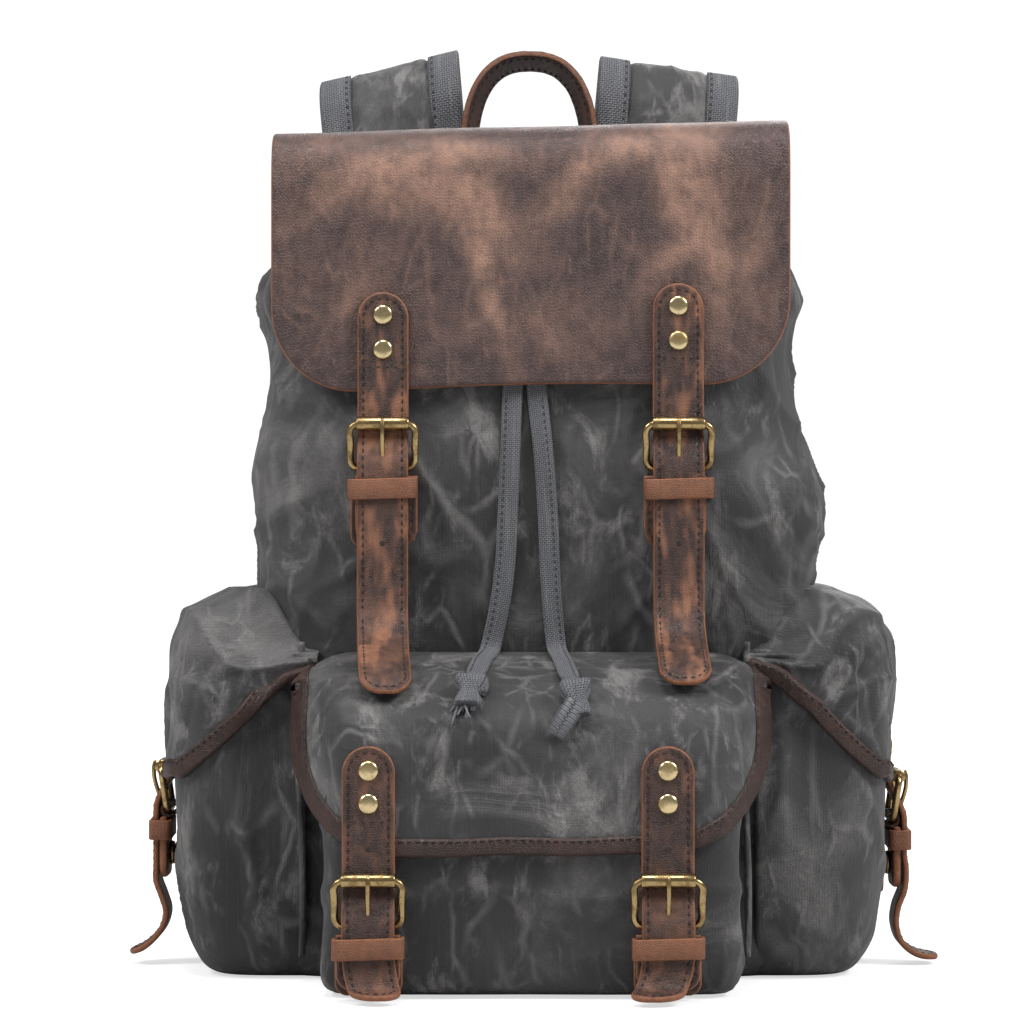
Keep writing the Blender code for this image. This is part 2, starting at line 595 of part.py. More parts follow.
def build_buckles(pivots):
    """Six straps: two on the main flap, two on the front pocket's and one on each side pocket's."""
    edge = FLAP_BOTTOM
    tail = tail_points(edge, [(0.0, 0.0, -0.0525), (0.0, 0.0, -0.0765), (0.0, -0.0015, -0.0955),
                              (0.0, -0.001, -0.1115)])
    for side, x in MAIN_STRAPS.items():
        build_buckle("main", side, front_seat(x, BODY_FACE), pivots["main"], edge + MAIN_TOPS[side],
                     edge + MAIN_ROLLER, edge + MAIN_TAB_END, edge + MAIN_SNAP, tail)

    edge = POCKET_FLAP_BOTTOM
    tails = {
        "left": tail_points(edge, [(0.0, 0.0, -0.047), (0.0, 0.0, -0.057), (-0.002, 0.003, -0.065),
                                   (-0.005, 0.012, -0.0678)]),
        "right": tail_points(edge, [(0.0, 0.0, -0.047), (-0.001, 0.0, -0.057), (-0.004, 0.004, -0.065),
                                    (-0.008, 0.016, -0.0678)]),
    }
    for side, x in POCKET_STRAPS.items():
        build_buckle("pocket", side, front_seat(x, POCKET_FACE), pivots["pocket"], edge + POCKET_STRAP_TOP,
                     edge + POCKET_ROLLER, edge + POCKET_TAB_END, edge + POCKET_SNAP, tails[side])

    edge = SIDE_FLAP_BOTTOM
    tails = {
        "left": tail_points(edge, [(0.0, 0.0, -0.0365), (0.0, 0.0, -0.0485), (0.0, 0.0, -0.0560),
                                   (0.0, -0.003, -0.0645), (0.0, -0.005, -0.0725), (0.0, -0.002, -0.0815),
                                   (0.0, 0.006, -0.0895), (0.0, 0.014, -0.0930)]),
        "right": tail_points(edge, [(0.0, 0.0, -0.0415), (0.0, 0.001, -0.0505), (0.0, 0.0003, -0.0605),
                                    (0.0, -0.003, -0.0695), (0.0, -0.004, -0.0785), (0.0, -0.001, -0.0875),
                                    (0.0, 0.007, -0.0935), (0.0, 0.018, -0.0953)]),
    }
    for side, sign in (("left", -1), ("right", 1)):
        roller = edge + SIDE_ROLLERS[side]
        build_buckle("side", side, side_seat(sign), pivots[side], edge + SIDE_TOPS[side], roller,
                     roller + SIDE_TAB_END, roller + SIDE_SNAP, tails[side])


def build_carrying():
    """The top handle, the shoulder straps, their lower webbing and its sliders."""
    arch = []
    for k in range(19):
        turn = math.pi * k / 18
        reach = math.copysign(abs(math.cos(turn)) ** 0.75, math.cos(turn))
        arch.append((-HANDLE_HALF_SPAN * reach, HANDLE_HINGE.z + HANDLE_RISE * math.sin(turn) ** 0.75))
    rings = []
    for k, (x, z) in enumerate(arch):
        x0, z0 = arch[max(k - 1, 0)]
        x1, z1 = arch[min(k + 1, len(arch) - 1)]
        along = Vector((x1 - x0, 0.0, z1 - z0)).normalized()
        rise = Vector((-along.z, 0.0, along.x)) * HANDLE_THICKNESS / 2
        deep = Vector((0.0, HANDLE_DEPTH / 2, 0.0))
        middle = Vector((x, HANDLE_HINGE.y, z))
        rings.append([middle - deep - rise, middle + deep - rise, middle + deep + rise, middle - deep + rise])
    show("handle", loft("handle", rings, smooth=False), LEATHER_LOOK, Pivot("handle", HANDLE_HINGE))

    out = SHOULDER_HINGE.y
    top = SHOULDER_HINGE.z
    run = [(out, top), (out + 0.010, top + 0.014), (out + 0.0165, top + 0.040), (out + 0.022, top + 0.067),
           (out + 0.035, top + 0.082), (out + 0.050, top + 0.070), (out + 0.057, top + 0.035),
           (out + 0.057, top - 0.020), (out + 0.050, top - 0.100), (out + 0.037, top - 0.180),
           (out + 0.027, top - 0.232)]
    for side, sign in (("left", -1), ("right", 1)):
        x = sign * SHOULDER_OFFSET
        pivot = Pivot("shoulder_strap_" + side, SHOULDER_HINGE + Vector((x, 0.0, 0.0)))
        path = smooth([(0.0, y, z) for y, z in run], 4)
        data = strip("shoulder_strap_" + side, lambda across, y, z, x=x: Vector((x + across, y, z)), path,
                     SHOULDER_HALF_WIDTH, SHOULDER_THICKNESS, 0.012, 30)
        show("shoulder_strap_" + side, data, CANVAS_LOOK, pivot)
        upper = Vector((x, run[-1][0], run[-1][1] - 0.004))
        lower = Vector((sign * (BODY_HALF_WIDTH - 0.034), BODY_HALF_DEPTH + 0.0035, 0.033))
        build_webbing(side, upper, lower)


def build_webbing(side, upper, lower):
    """A straight run of webbing from the strap's end to the bag's lower corner, with its slider."""
    along = (lower - upper).normalized()
    across = along.cross(Vector((0.0, 1.0, 0.0))).normalized()
    deep = across.cross(along)

    def section(half_width, half_depth, middle):
        corners = ((-1, -1), (1, -1), (1, 1), (-1, 1))
        return [middle + across * half_width * a + deep * half_depth * b for a, b in corners]

    ends = [section(WEBBING_WIDTH / 2, WEBBING_THICKNESS / 2, place) for place in (upper, lower)]
    show("webbing_" + side, loft("webbing_" + side, ends, smooth=False), WEBBING_LOOK)
    hole = (WEBBING_WIDTH / 2 + THREADING, WEBBING_THICKNESS / 2 + THREADING)
    shell = (hole[0] + SLIDER_WALL, hole[1] + SLIDER_WALL / 2)
    start = upper + along * SLIDER_FROM_TOP
    end = start + along * SLIDER_LENGTH
    rings = [section(*shell, start), section(*shell, end), section(*hole, end), section(*hole, start)]
    pivot = Pivot("slider_" + side, start)
    show("slider_" + side, loft("slider_" + side, rings, closed=True, smooth=False), BRASS_LOOK, pivot)


def build_drawstring(pocket_pivot):
    """Each tail in two stretches: down the body, and over the front pocket's flap to its knot.

    The hanging points are (across, out from the body's face, down from the mouth or up from the pocket flap's
    seam); the lying ones are (across, share of the pocket's depth, down from the seam).
    """
    depth = BODY_FACE - POCKET_FACE
    outs = ((-0.0245, 0.004), (-0.0200, -0.010), (-0.0170, -0.035), (-0.0095, -0.065), (-0.0035, -0.100),
            (-0.0018, -0.112), (0.0022, -0.140))
    rises = ((0.0024, 0.071), (0.0024, 0.046), (0.0024, 0.026), (0.0028, 0.007))
    across = {
        "left": (-0.006, -0.008, -0.008, -0.008, -0.008, -0.009, -0.010, -0.0112, -0.0125, -0.0150, -0.0190),
        "right": (0.004, 0.003, 0.003, 0.003, 0.003, 0.003, 0.006, 0.0082, 0.0092, 0.0104, 0.0122),
    }
    lying = {
        "left": ((-0.0205, 0.121, 0.0020), (-0.0235, 0.322, -0.0008), (-0.0262, 0.564, -0.0060),
                 (-0.0280, 0.752, -0.0100), (-0.0292, 0.886, -0.0135), (-0.0305, 0.993, -0.0195)),
        "right": ((0.0133, 0.121, 0.0020), (0.0150, 0.322, -0.0008), (0.0175, 0.591, -0.0065),
                  (0.0195, 0.805, -0.0112), (0.0212, 0.953, -0.0170), (0.0222, 1.047, -0.0250)),
    }
    levels = [BODY_HEIGHT + up for _, up in outs] + [POCKET_FLAP_TOP + up for _, up in rises]
    for side in ("left", "right"):
        hanging = [(x, BODY_FACE - out, z) for x, (out, _), z in zip(across[side], outs + rises, levels)]
        end_points = [(x, BODY_FACE - share * depth, POCKET_FLAP_TOP + up) for x, share, up in lying[side]]
        wire_curve("drawstring_tail_" + side, smooth(hanging, 3), CORD_RADIUS, False, 2, WEBBING_LOOK, None)
        end = wire_curve("drawstring_end_" + side, smooth(end_points, 3), CORD_RADIUS, False, 2, WEBBING_LOOK,
                         pocket_pivot)
        knot = end.data.splines[0].points[-6:-1]
        for point, swell in zip(knot, (0.55, 0.9, 1.0, 0.9, 0.55)):
            point.radius = KNOT_SWELL * swell


def rest_on_origin():
    """Move the whole bag so that its box stands centred on the origin, cords left out."""
    depsgraph = bpy.context.evaluated_depsgraph_get()
    corners = []
    for piece in bpy.data.objects:
        if piece.type == "EMPTY" or piece.hide_render or piece.name.startswith(("drawstring_tail", "drawstring_end")):
            continue
        shape = piece.evaluated_get(depsgraph).to_mesh()
        corners += [piece.matrix_world @ vertex.co for vertex in shape.vertices]
    middle = [(min(c[k] for c in corners) + max(c[k] for c in corners)) / 2 for k in (0, 1)]
    floor = min(c.z for c in corners)
    for item in bpy.data.objects:
        if item.parent is None:
            item.location -= Vector((middle[0], middle[1], floor))


def main():
    for item in list(bpy.data.objects):
        bpy.data.objects.remove(item, do_unlink=True)
    build_body()
    build_back_pad()
    build_pockets()
    pivots = build_flaps()
    build_buckles(pivots)
    build_carrying()
    build_drawstring(pivots["pocket"])
    bpy.context.view_layer.update()
    rest_on_origin()


main()
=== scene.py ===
import itertools
import math

import bmesh
import bpy
import numpy as np
from bpy.props import FloatProperty, FloatVectorProperty, PointerProperty
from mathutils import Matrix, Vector


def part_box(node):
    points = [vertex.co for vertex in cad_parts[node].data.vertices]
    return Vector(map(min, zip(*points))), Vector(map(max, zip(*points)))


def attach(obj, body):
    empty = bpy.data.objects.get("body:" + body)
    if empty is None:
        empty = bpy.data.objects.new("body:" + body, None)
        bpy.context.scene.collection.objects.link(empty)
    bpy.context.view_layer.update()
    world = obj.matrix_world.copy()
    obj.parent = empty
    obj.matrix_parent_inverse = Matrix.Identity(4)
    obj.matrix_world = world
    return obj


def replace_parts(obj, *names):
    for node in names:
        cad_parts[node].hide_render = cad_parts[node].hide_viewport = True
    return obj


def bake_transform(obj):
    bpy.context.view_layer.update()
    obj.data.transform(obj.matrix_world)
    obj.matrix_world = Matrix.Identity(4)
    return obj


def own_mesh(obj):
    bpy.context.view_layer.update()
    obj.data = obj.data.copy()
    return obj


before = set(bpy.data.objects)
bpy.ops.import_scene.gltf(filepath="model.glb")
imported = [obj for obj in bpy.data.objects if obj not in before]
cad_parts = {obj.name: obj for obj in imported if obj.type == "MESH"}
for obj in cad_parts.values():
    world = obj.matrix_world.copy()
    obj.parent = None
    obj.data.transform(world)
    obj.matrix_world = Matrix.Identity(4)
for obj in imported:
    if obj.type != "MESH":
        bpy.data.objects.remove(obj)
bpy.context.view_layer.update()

bl_info = {
    "name": "Travel backpack",
    "version": (1, 0, 0),
    "blender": (4, 5, 0),
    "location": "3D View > Sidebar > Backpack",
    "description": "Builds the cloth, leather, webbing and brass of a waxed-canvas travel backpack",
    "category": "Object",
}

SHELL_LOW, SHELL_HIGH = (np.array(corner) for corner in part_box("body_shell"))

# The bag's own frame has the body's middle at x = y = 0; every mesh is moved by SHIFT at the end
SHIFT = np.array([(SHELL_LOW[0] + SHELL_HIGH[0]) / 2, (SHELL_LOW[1] + SHELL_HIGH[1]) / 2, 0.0])
HALF_WIDTH = (SHELL_HIGH[0] - SHELL_LOW[0]) / 2
HALF_DEPTH = (SHELL_HIGH[1] - SHELL_LOW[1]) / 2
MOUTH = SHELL_HIGH[2]
BODY_FACE = -HALF_DEPTH
POCKET_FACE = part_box("front_pocket")[0][1] - SHIFT[1]
SIDE_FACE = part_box("side_pocket_right")[1][0] - SHIFT[0]

# Levels outwards from a face, as the straps, tabs and buckles lie on it
GAP = 0.0003
FLAP_LEVEL = 0.0018
STRAP_HIGH = 0.0051
STRAP_LOW = 0.0132
ROLLER_LEVEL = 0.0104
HEEL_LEVEL = 0.0071
TAB_LEVEL = 0.0092
BAR_DROP = 0.02175
STRAP_HALF = 0.0125
TAB_HALF = 0.0152
LARGE_RIM = 0.05


# ---------------------------------------------------------------- numbers and curves

def noise(places, size, seed=0):
    """Random gradients on the corners of cubes of this size, blended by an eased step: about -1 to 1."""
    table = np.random.default_rng(seed).normal(size=(4096, 3))
    table /= np.linalg.norm(table, axis=1)[:, None]
    cells = np.asarray(places, float) / size
    low = np.floor(cells).astype(np.int64)
    inside = cells - low
    ease = inside ** 3 * (inside * (inside * 6 - 15) + 10)
    total = 0.0
    for corner in itertools.product((0, 1), repeat=3):
        node = low + np.array(corner)
        pick = (node[..., 0] * 73856093 ^ node[..., 1] * 19349663 ^ node[..., 2] * 83492791) & 4095
        share = np.where(np.array(corner) == 1, ease, 1 - ease).prod(-1)
        total = total + share * (table[pick] * (inside - np.array(corner))).sum(-1)
    return total * 1.7


def ridges(places, size, seed=0, sharp=4.0):
    """One minus the noise's distance from zero, to a power: thin raised lines where the noise turns over."""
    return np.clip(1 - np.abs(noise(places, size, seed)) * 1.6, 0, 1) ** sharp


def ease(low, high, value):
    share = np.clip((np.asarray(value, float) - low) / (high - low), 0, 1)
    return share * share * (3 - 2 * share)


def bump(value, middle, width):
    return np.exp(-((np.asarray(value) - middle) / width) ** 2)


def run_of(line):
    return np.concatenate([[0.0], np.cumsum(np.linalg.norm(np.diff(line, axis=0), axis=1))])


def evenly(line, step):
    """The same line with its points a step apart."""
    run = run_of(line)
    stops = np.linspace(0, run[-1], max(int(round(run[-1] / step)), 2) + 1)
    return np.stack([np.interp(stops, run, line[:, k]) for k in range(line.shape[1])], -1)


def curve_through(points, step=0.001):
    """Cubic curve through the points, whose slope at each is half the way between its neighbours."""
    p = np.asarray(points, float)
    p = np.vstack([2 * p[0] - p[1], p, 2 * p[-1] - p[-2]])
    t = np.linspace(0, 1, 24, endpoint=False)[None, :, None]
    a, b, c, d = p[:-3, None], p[1:-2, None], p[2:-1, None], p[3:, None]
    bend = (2 * b + (c - a) * t + (2 * a - 5 * b + 4 * c - d) * t ** 2 + (3 * b - a - 3 * c + d) * t ** 3) / 2
    return evenly(np.vstack([bend.reshape(-1, p.shape[1]), p[-2]]), step)


def squared_oval(half_x, half_y, power, count):
    """Shares of the two half sizes round a squared oval, evenly spaced, the last point on the first."""
    turn = np.linspace(0, 2 * np.pi, 40001)
    cos, sin = np.cos(turn), np.sin(turn)
    line = np.stack([np.sign(cos) * np.abs(cos) ** (2 / power) * half_x,
                     np.sign(sin) * np.abs(sin) ** (2 / power) * half_y], -1)
    run = run_of(line)
    stops = np.linspace(0, run[-1], count + 1)
    x, y = (np.interp(stops, run, line[:, k]) for k in range(2))
    x[-1], y[-1] = x[0], y[0]
    return x / half_x, y / half_y, stops


def unit(vectors):
    return vectors / np.maximum(np.linalg.norm(vectors, axis=-1, keepdims=True), 1e-12)


# ---------------------------------------------------------------- meshes from grids

def surface(name, sheets, finish, body, rub=None):
    """A piece from grids of places, joined where their edges meet.

    Each sheet is (places, flat, rim): places in the bag's frame, the same points in the flat cloth or
    hide in metres, and each point's distance from a cut edge. The first axis may count repeats.
    """
    points, flats, rims, quads, total = [], [], [], [], 0
    for places, flat, rim in sheets:
        places = places.reshape((-1,) + places.shape[-3:])
        copies, rows, columns = places.shape[:3]
        index = total + np.arange(copies * rows * columns).reshape(copies, rows, columns)
        total += index.size
        quad = np.stack([index[:, :-1, :-1], index[:, :-1, 1:], index[:, 1:, 1:], index[:, 1:, :-1]], -1)
        quads.append(quad.reshape(-1, 4))
        points.append(places.reshape(-1, 3) + SHIFT)
        flat = np.zeros((index.size, 2)) if flat is None else np.broadcast_to(flat, places.shape[:3] + (2,))
        flats.append(flat.reshape(-1, 2))
        rim = LARGE_RIM if rim is None else rim
        rims.append(np.broadcast_to(rim, places.shape[:3]).reshape(-1))
    points, flats, quads = np.vstack(points), np.vstack(flats), np.vstack(quads)
    mesh = bpy.data.meshes.new(name)
    mesh.vertices.add(len(points))
    mesh.vertices.foreach_set("co", points.ravel())
    mesh.loops.add(quads.size)
    mesh.loops.foreach_set("vertex_index", quads.ravel())
    mesh.polygons.add(len(quads))
    mesh.polygons.foreach_set("loop_start", np.arange(len(quads)) * 4)
    mesh.update(calc_edges=True)
    mesh.uv_layers.new(name="flat").data.foreach_set("uv", flats[quads.ravel()].ravel())
    mesh.attributes.new("rim", "FLOAT", "POINT").data.foreach_set("value", np.concatenate(rims))
    rub = np.zeros(total) if rub is None else rub.reshape(-1)
    mesh.attributes.new("rub", "FLOAT", "POINT").data.foreach_set("value", rub)
    work = bmesh.new()
    work.from_mesh(mesh)
    bmesh.ops.remove_doubles(work, verts=work.verts, dist=2e-6)
    bmesh.ops.recalc_face_normals(work, faces=work.faces)
    work.to_mesh(mesh)
    work.free()
    mesh.shade_smooth()
    return present(name, mesh, finish, body)


def present(name, mesh, finish, body):
    """Link a mesh as a piece of the bag, in its finish, moving with its body."""
    piece = bpy.data.objects.new(name, mesh)
    bpy.context.collection.objects.link(piece)
    mesh.materials.clear()
    mesh.materials.append(finish_of(finish))
    if body:
        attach(piece, body)
    return piece


def cloth(name, grid, thickness, finish, body, flat=None):
    """A grid given two faces, half a thickness to either side along its normal, that close at its edges."""
    down, side = np.gradient(grid, axis=0), np.gradient(grid, axis=1)
    normal = unit(np.cross(down, side))
    rows, columns = grid.shape[:2]
    row, column = np.arange(rows)[:, None], np.arange(columns)[None, :]
    steps = np.minimum(np.minimum(row, rows - 1 - row), np.minimum(column, columns - 1 - column))
    lift = thickness / 2 * np.sqrt(1 - (1 - np.clip(steps / 2, 0, 1)) ** 2)
    if flat is None:
        across = np.cumsum(np.linalg.norm(np.diff(grid, axis=1, prepend=grid[:, :1]), axis=-1), axis=1)
        along = np.cumsum(np.linalg.norm(np.diff(grid, axis=0, prepend=grid[:1]), axis=-1), axis=0)
        flat = np.stack([across, along], -1)
    sheets = [(grid + normal * lift[..., None], flat, None), (grid - normal * lift[..., None], flat, None)]
    return surface(name, sheets, finish, body)


def sweep(line, side, up, section, scale=None, closed=False):
    """A section of (sideways, upwards) points carried along a line, with its ends drawn to a point."""
    section = np.asarray(section, float)
    section = np.vstack([section, section[:1]])
    scale = np.ones(len(line)) if scale is None else scale
    size = scale[:, None, None]
    grid = line[:, None] + side[:, None] * section[None, :, :1] * size + up[:, None] * section[None, :,
            1:] * size
    if closed:
        return np.vstack([grid, grid[:1]])
    ends = [np.repeat(line[k][None, None], len(section), axis=1) for k in (0, -1)]
    return np.vstack([ends[0], grid, ends[1]])


def round_section(radius, sides=12, flatten=1.0):
    turn = np.linspace(0, 2 * np.pi, sides, endpoint=False)
    return np.stack([np.cos(turn) * radius, np.sin(turn) * radius * flatten], -1)


def slab_section(half_width, half_thickness, corner, steps=4):
    """A rectangle with rounded corners, counted round from its right side."""
    parts = []
    for k, (a, b) in enumerate(((1, 1), (-1, 1), (-1, -1), (1, -1))):
        turn = np.radians(np.linspace(90 * k, 90 * k + 90, steps))
        parts.append(np.stack([a * (half_width - corner) + corner * np.cos(turn),
                               b * (half_thickness - corner) + corner * np.sin(turn)], -1))
    return np.vstack(parts)


def wire(line, radius, reference, sides=12, closed=False, scale=None):
    """A round bar along a line; the reference direction settles where its section starts."""
    if closed:
        along = unit(np.roll(line, -1, axis=0) - np.roll(line, 1, axis=0))
    else:
        along = unit(np.gradient(line, axis=0))
    side = unit(np.cross(along, np.asarray(reference, float)))
    return sweep(line, side, np.cross(side, along), round_section(radius, sides), scale, closed)


def turned(profile, middle, axis, sides=28):
    """A profile of (radius, height) points turned about an axis through a middle point."""
    axis = unit(np.asarray(axis, float))
    side = unit(np.cross(axis, [0.31, 0.17, 0.93]))
    other = np.cross(axis, side)
    turn = np.linspace(0, 2 * np.pi, sides + 1)
    turn[-1] = 0
    ring = side * np.cos(turn)[:, None] + other * np.sin(turn)[:, None]
    profile = np.asarray(profile, float)
    return middle + profile[:, None, :1] * ring[None] + profile[:, None, 1:] * axis


class Route:
    """A line of (across, outwards, up) places on a seat, measured by the distance along it."""

    def __init__(self, points, seat, relief=None, narrow=None):
        self.line = curve_through(points)
        self.run = run_of(self.line)
        self.length = self.run[-1]
        self.slope = np.gradient(self.line, self.run, axis=0)
        self.seat = seat
        self.relief = relief
        self.narrow = narrow

    def at(self, across, along, lift=0.0):
        """The place beside the line by across, a distance along it, and lifted off it by its normal."""
        across, along, lift = np.broadcast_arrays(across, along, lift)
        middle = np.stack([np.interp(along, self.run, self.line[:, k]) for k in range(3)], -1)
        slope = np.stack([np.interp(along, self.run, self.slope[:, k]) for k in range(3)], -1)
        beyond = along - np.clip(along, 0, self.length)
        normal = np.stack([np.zeros(along.shape), -slope[..., 2], slope[..., 1]], -1)
        place = middle + slope * beyond[..., None] + unit(normal) * lift[..., None]
        width = across * self.narrow(along) if self.narrow else across
        place[..., 0] += width
        if self.relief:
            place = place + self.relief(width, along)
        return self.seat(place)


def front_seat(x, face):
    return lambda p: np.stack([x + p[..., 0], face - p[..., 1], p[..., 2]], -1)


def side_seat(sign):
    return lambda p: np.stack([sign * (SIDE_FACE + p[..., 1]), p[..., 0], p[..., 2]], -1)


def plain_seat(x):
    return lambda p: np.stack([x + p[..., 0], p[..., 1], p[..., 2]], -1)


def rim_distance(across, along, half_width, length, corners):
    """How far inside a leaf's outline a flat point is, its corners being quarter circles."""
    start, end = corners
    beside = half_width - np.abs(across)
    distance = np.minimum(beside, np.minimum(along, length - along))
    for radius, reach in ((start, along), (end, length - along)):
        if radius:
            inside_corner = (beside < radius) & (reach < radius)
            round_distance = radius - np.hypot(radius - beside, radius - reach)
            distance = np.where(inside_corner, round_distance, distance)
    return np.maximum(distance, 0)


def leaf_rows(half_width, length, corners, rounding, step):
    """Distances along a leaf and its half width there: quarter circles at its corners, even rows between."""
    turn = np.linspace(0, np.pi / 2, 15)
    edge = np.array([0, 0.12, 0.35, 0.7, 1.0]) * rounding
    runs, widths = [], []
    for radius in corners:
        if radius:
            runs.append(radius * (1 - np.cos(turn)))
            widths.append(half_width - radius + radius * np.sin(turn))
        else:
            runs.append(edge)
            widths.append(np.full(len(edge), half_width))
    middle = np.linspace(runs[0][-1], length - runs[1][-1],
                         max(int((length - runs[0][-1]) / step), 2) + 1)[1:-1]
    along = np.concatenate([runs[0], middle, (length - runs[1])[::-1]])
    width = np.concatenate([widths[0], np.full(len(middle), half_width), widths[1][::-1]])
    return along, width


def leaf_sheets(route, half_width, thickness, corners, rounding=0.0012, step=0.003, columns=16,
                groove=0.0, groove_in=0.003, crown=None, length=None):
    """The two faces of a flat piece: half its thickness to either side of its route, with a round edge.

    The edge's lift is the height of a circle of the rounding. A groove is a bell of its depth, cut all round
    at a distance in from the edge, and the crown adds to the outer face by the distance from the edge.
    """
    length = length or route.length
    along, width = leaf_rows(half_width, length, corners, rounding, step)
    edge = np.array([0, 0.12, 0.35, 0.7, 1.0]) * rounding
    if groove:
        edge = np.concatenate([edge, groove_in + np.array([-0.0009, -0.0004, 0, 0.0004, 0.0009])])
    share = 1 - edge / half_width
    middle = np.linspace(-share[-1], share[-1], columns + 1)[1:-1]
    share = np.concatenate([-share, middle, share[::-1]])
    across = width[:, None] * share[None, :]
    along = np.broadcast_to(along[:, None], across.shape)
    rim = rim_distance(across, along, half_width, length, corners)
    lift = thickness / 2 * np.sqrt(1 - (1 - np.clip(rim / rounding, 0, 1)) ** 2)
    outer = lift - groove * bump(rim, groove_in, 0.0005) * (rim > 0)
    if crown:
        outer = outer + crown(rim, across, along)
    flat = np.stack([across, along], -1)
    return [(route.at(across, along, outer), flat, rim), (route.at(across, along, -lift), flat + 0.5, rim)]


def cut_sheets(sheets, along):
    """Two sets of sheets, split at a row near this distance along, each with its cut end closed."""
    row = int(np.argmin(np.abs(sheets[0][1][:, 0, 1] - along)))
    first = [tuple(part[:row + 1] for part in sheet) for sheet in sheets]
    second = [tuple(part[row:] for part in sheet) for sheet in sheets]
    wall = [np.stack([sheets[0][k][row], sheets[1][k][row]]) for k in range(3)]
    wall[0] = wall[0] + 0.00001
    return first + [tuple(wall)], second + [tuple(wall)]


def outline(half_width, length, corners, inset, step=0.0015, close=False, start=0.0):
    """The flat line at a distance in from a leaf's edge, from its near left corner round to the right."""
    near, far = corners
    x = half_width - inset
    far_turn = np.linspace(0, np.pi / 2, 12)
    radius = max(far - inset, 0.0)
    base = length - inset
    left = np.stack([-(x - radius) - radius * np.cos(far_turn), base - radius + radius * np.sin(far_turn)],
                    -1)
    line = np.vstack([[-x, start], left, left[::-1] * [-1, 1], [x, start]])
    if close:
        radius = max(near - inset, 0.0)
        top = np.stack([(x - radius) + radius * np.cos(far_turn),
                        inset + radius - radius * np.sin(far_turn)], -1)
        line = np.vstack([line[1:-1], top, top[::-1] * [-1, 1], line[1:2]])
    return evenly(line, step)


def thread_grids(place, line, spacing, length=0.0026, radius=0.00034, sides=6):
    """Stitches laid end to end along a flat line: each is a thin spindle, bowed up and sunk at its ends."""
    run = run_of(line)
    count = max(int(run[-1] / spacing), 1)
    middles = (np.arange(count) + 0.5) * run[-1] / count
    steps = np.linspace(-1, 1, 5)
    stops = middles[:, None] + steps * length / 2
    across, along = (np.interp(stops, run, line[:, k]) for k in range(2))
    base = place(across, along, 0.0)
    normal = unit(place(across, along, 0.001) - base)
    forward = unit(np.gradient(base, axis=1))
    side = np.cross(forward, normal)
    girth = radius * np.sqrt(1 - 0.98 * steps ** 2)
    rise = radius * (0.7 - 1.1 * steps ** 2)
    turn = np.linspace(0, 2 * np.pi, sides + 1)
    turn[-1] = 0
    centre = base + normal * rise[None, :, None]
    ring = side[..., None, :] * np.cos(turn)[:, None] + normal[..., None, :] * np.sin(turn)[:, None]
    return centre[..., None, :] + ring * girth[None, :, None, None]


def stitch(name, place, lines, body, finish="thread", spacing=None, **shape):
    spacing = spacing or bpy.context.scene.backpack_sizes.stitch
    grids = [thread_grids(place, line, spacing, **shape) for line in lines]
    return surface(name, [(grid, None, None) for grid in grids], finish, body)


def band_sheets(route, line, section):
    """A section of (inwards, lifted) points carried along a flat line on a route, its ends closed."""
    along = np.gradient(line, axis=0)
    along = along / np.linalg.norm(along, axis=1)[:, None]
    inward = np.stack([along[:, 1], -along[:, 0]], -1)
    section = np.vstack([section, section[:1]])
    place = line[:, None] + inward[:, None] * section[None, :, :1]
    grid = route.at(place[..., 0], place[..., 1], np.broadcast_to(section[None, :, 1], place.shape[:2]))
    run = run_of(line)
    round_run = run_of(section)
    flat = np.stack(np.broadcast_arrays(round_run[None, :], run[:, None]), -1)
    ends = [np.repeat(grid[k].mean(0)[None, None], grid.shape[1], axis=1) for k in (0, -1)]
    grid = np.vstack([ends[0], grid, ends[1]])
    flat = np.vstack([flat[:1], flat, flat[-1:]])
    return [(grid, flat, None)]


def binding_section(width, half_thickness, wall):
    """A strip folded over an edge: a rounded nose outside it and two flat sides reaching inwards."""
    turn = np.radians(np.linspace(90, 270, 9))
    nose = np.stack([-0.0006 + (wall + 0.0004) * np.cos(turn), (half_thickness + wall) * np.sin(turn)], -1)
    top = [(width, half_thickness * 0.6), (width - 0.0003, half_thickness + wall * 0.8),
           (width * 0.55, half_thickness + wall)]
    return np.vstack([top, nose, [(x, -z) for x, z in top[::-1]]])


# ---------------------------------------------------------------- finishes

class Graph:
    """Adds nodes to a tree; a socket takes a number, a colour or another node's output."""

    def __init__(self, tree):
        self.tree = tree

    def add(self, kind, sockets=None, **settings):
        node = self.tree.nodes.new(kind)
        for key, value in settings.items():
            setattr(node, key, value)
        for key, value in (sockets or {}).items():
            self.fill(node.inputs[key], value)
        return node

    def fill(self, socket, value):
        if isinstance(value, bpy.types.NodeSocket):
            self.tree.links.new(value, socket)
        else:
            socket.default_value = value

    def maths(self, operation, *values):
        return self.add("ShaderNodeMath", dict(enumerate(values)), operation=operation).outputs[0]

    def spread(self, value, low, high, out_low=0.0, out_high=1.0):
        sockets = {"Value": value, "From Min": low, "From Max": high, "To Min": out_low, "To Max": out_high}
        return self.add("ShaderNodeMapRange", sockets, interpolation_type="SMOOTHSTEP").outputs[0]

    def mix(self, share, first, second):
        return self.add("ShaderNodeMix", {0: share, 6: first, 7: second}, data_type="RGBA").outputs[2]

    def stretched(self, source, scale, turn=(0.0, 0.0, 0.0)):
        return self.add("ShaderNodeMapping", {"Vector": source, "Scale": scale, "Rotation": turn}).outputs[0]

    def cloud(self, vector, scale, detail=4.0, roughness=0.55, distortion=0.0):
        sockets = {"Vector": vector, "Scale": scale, "Detail": detail, "Roughness": roughness,
                   "Distortion": distortion}
        return self.add("ShaderNodeTexNoise", sockets).outputs["Fac"]


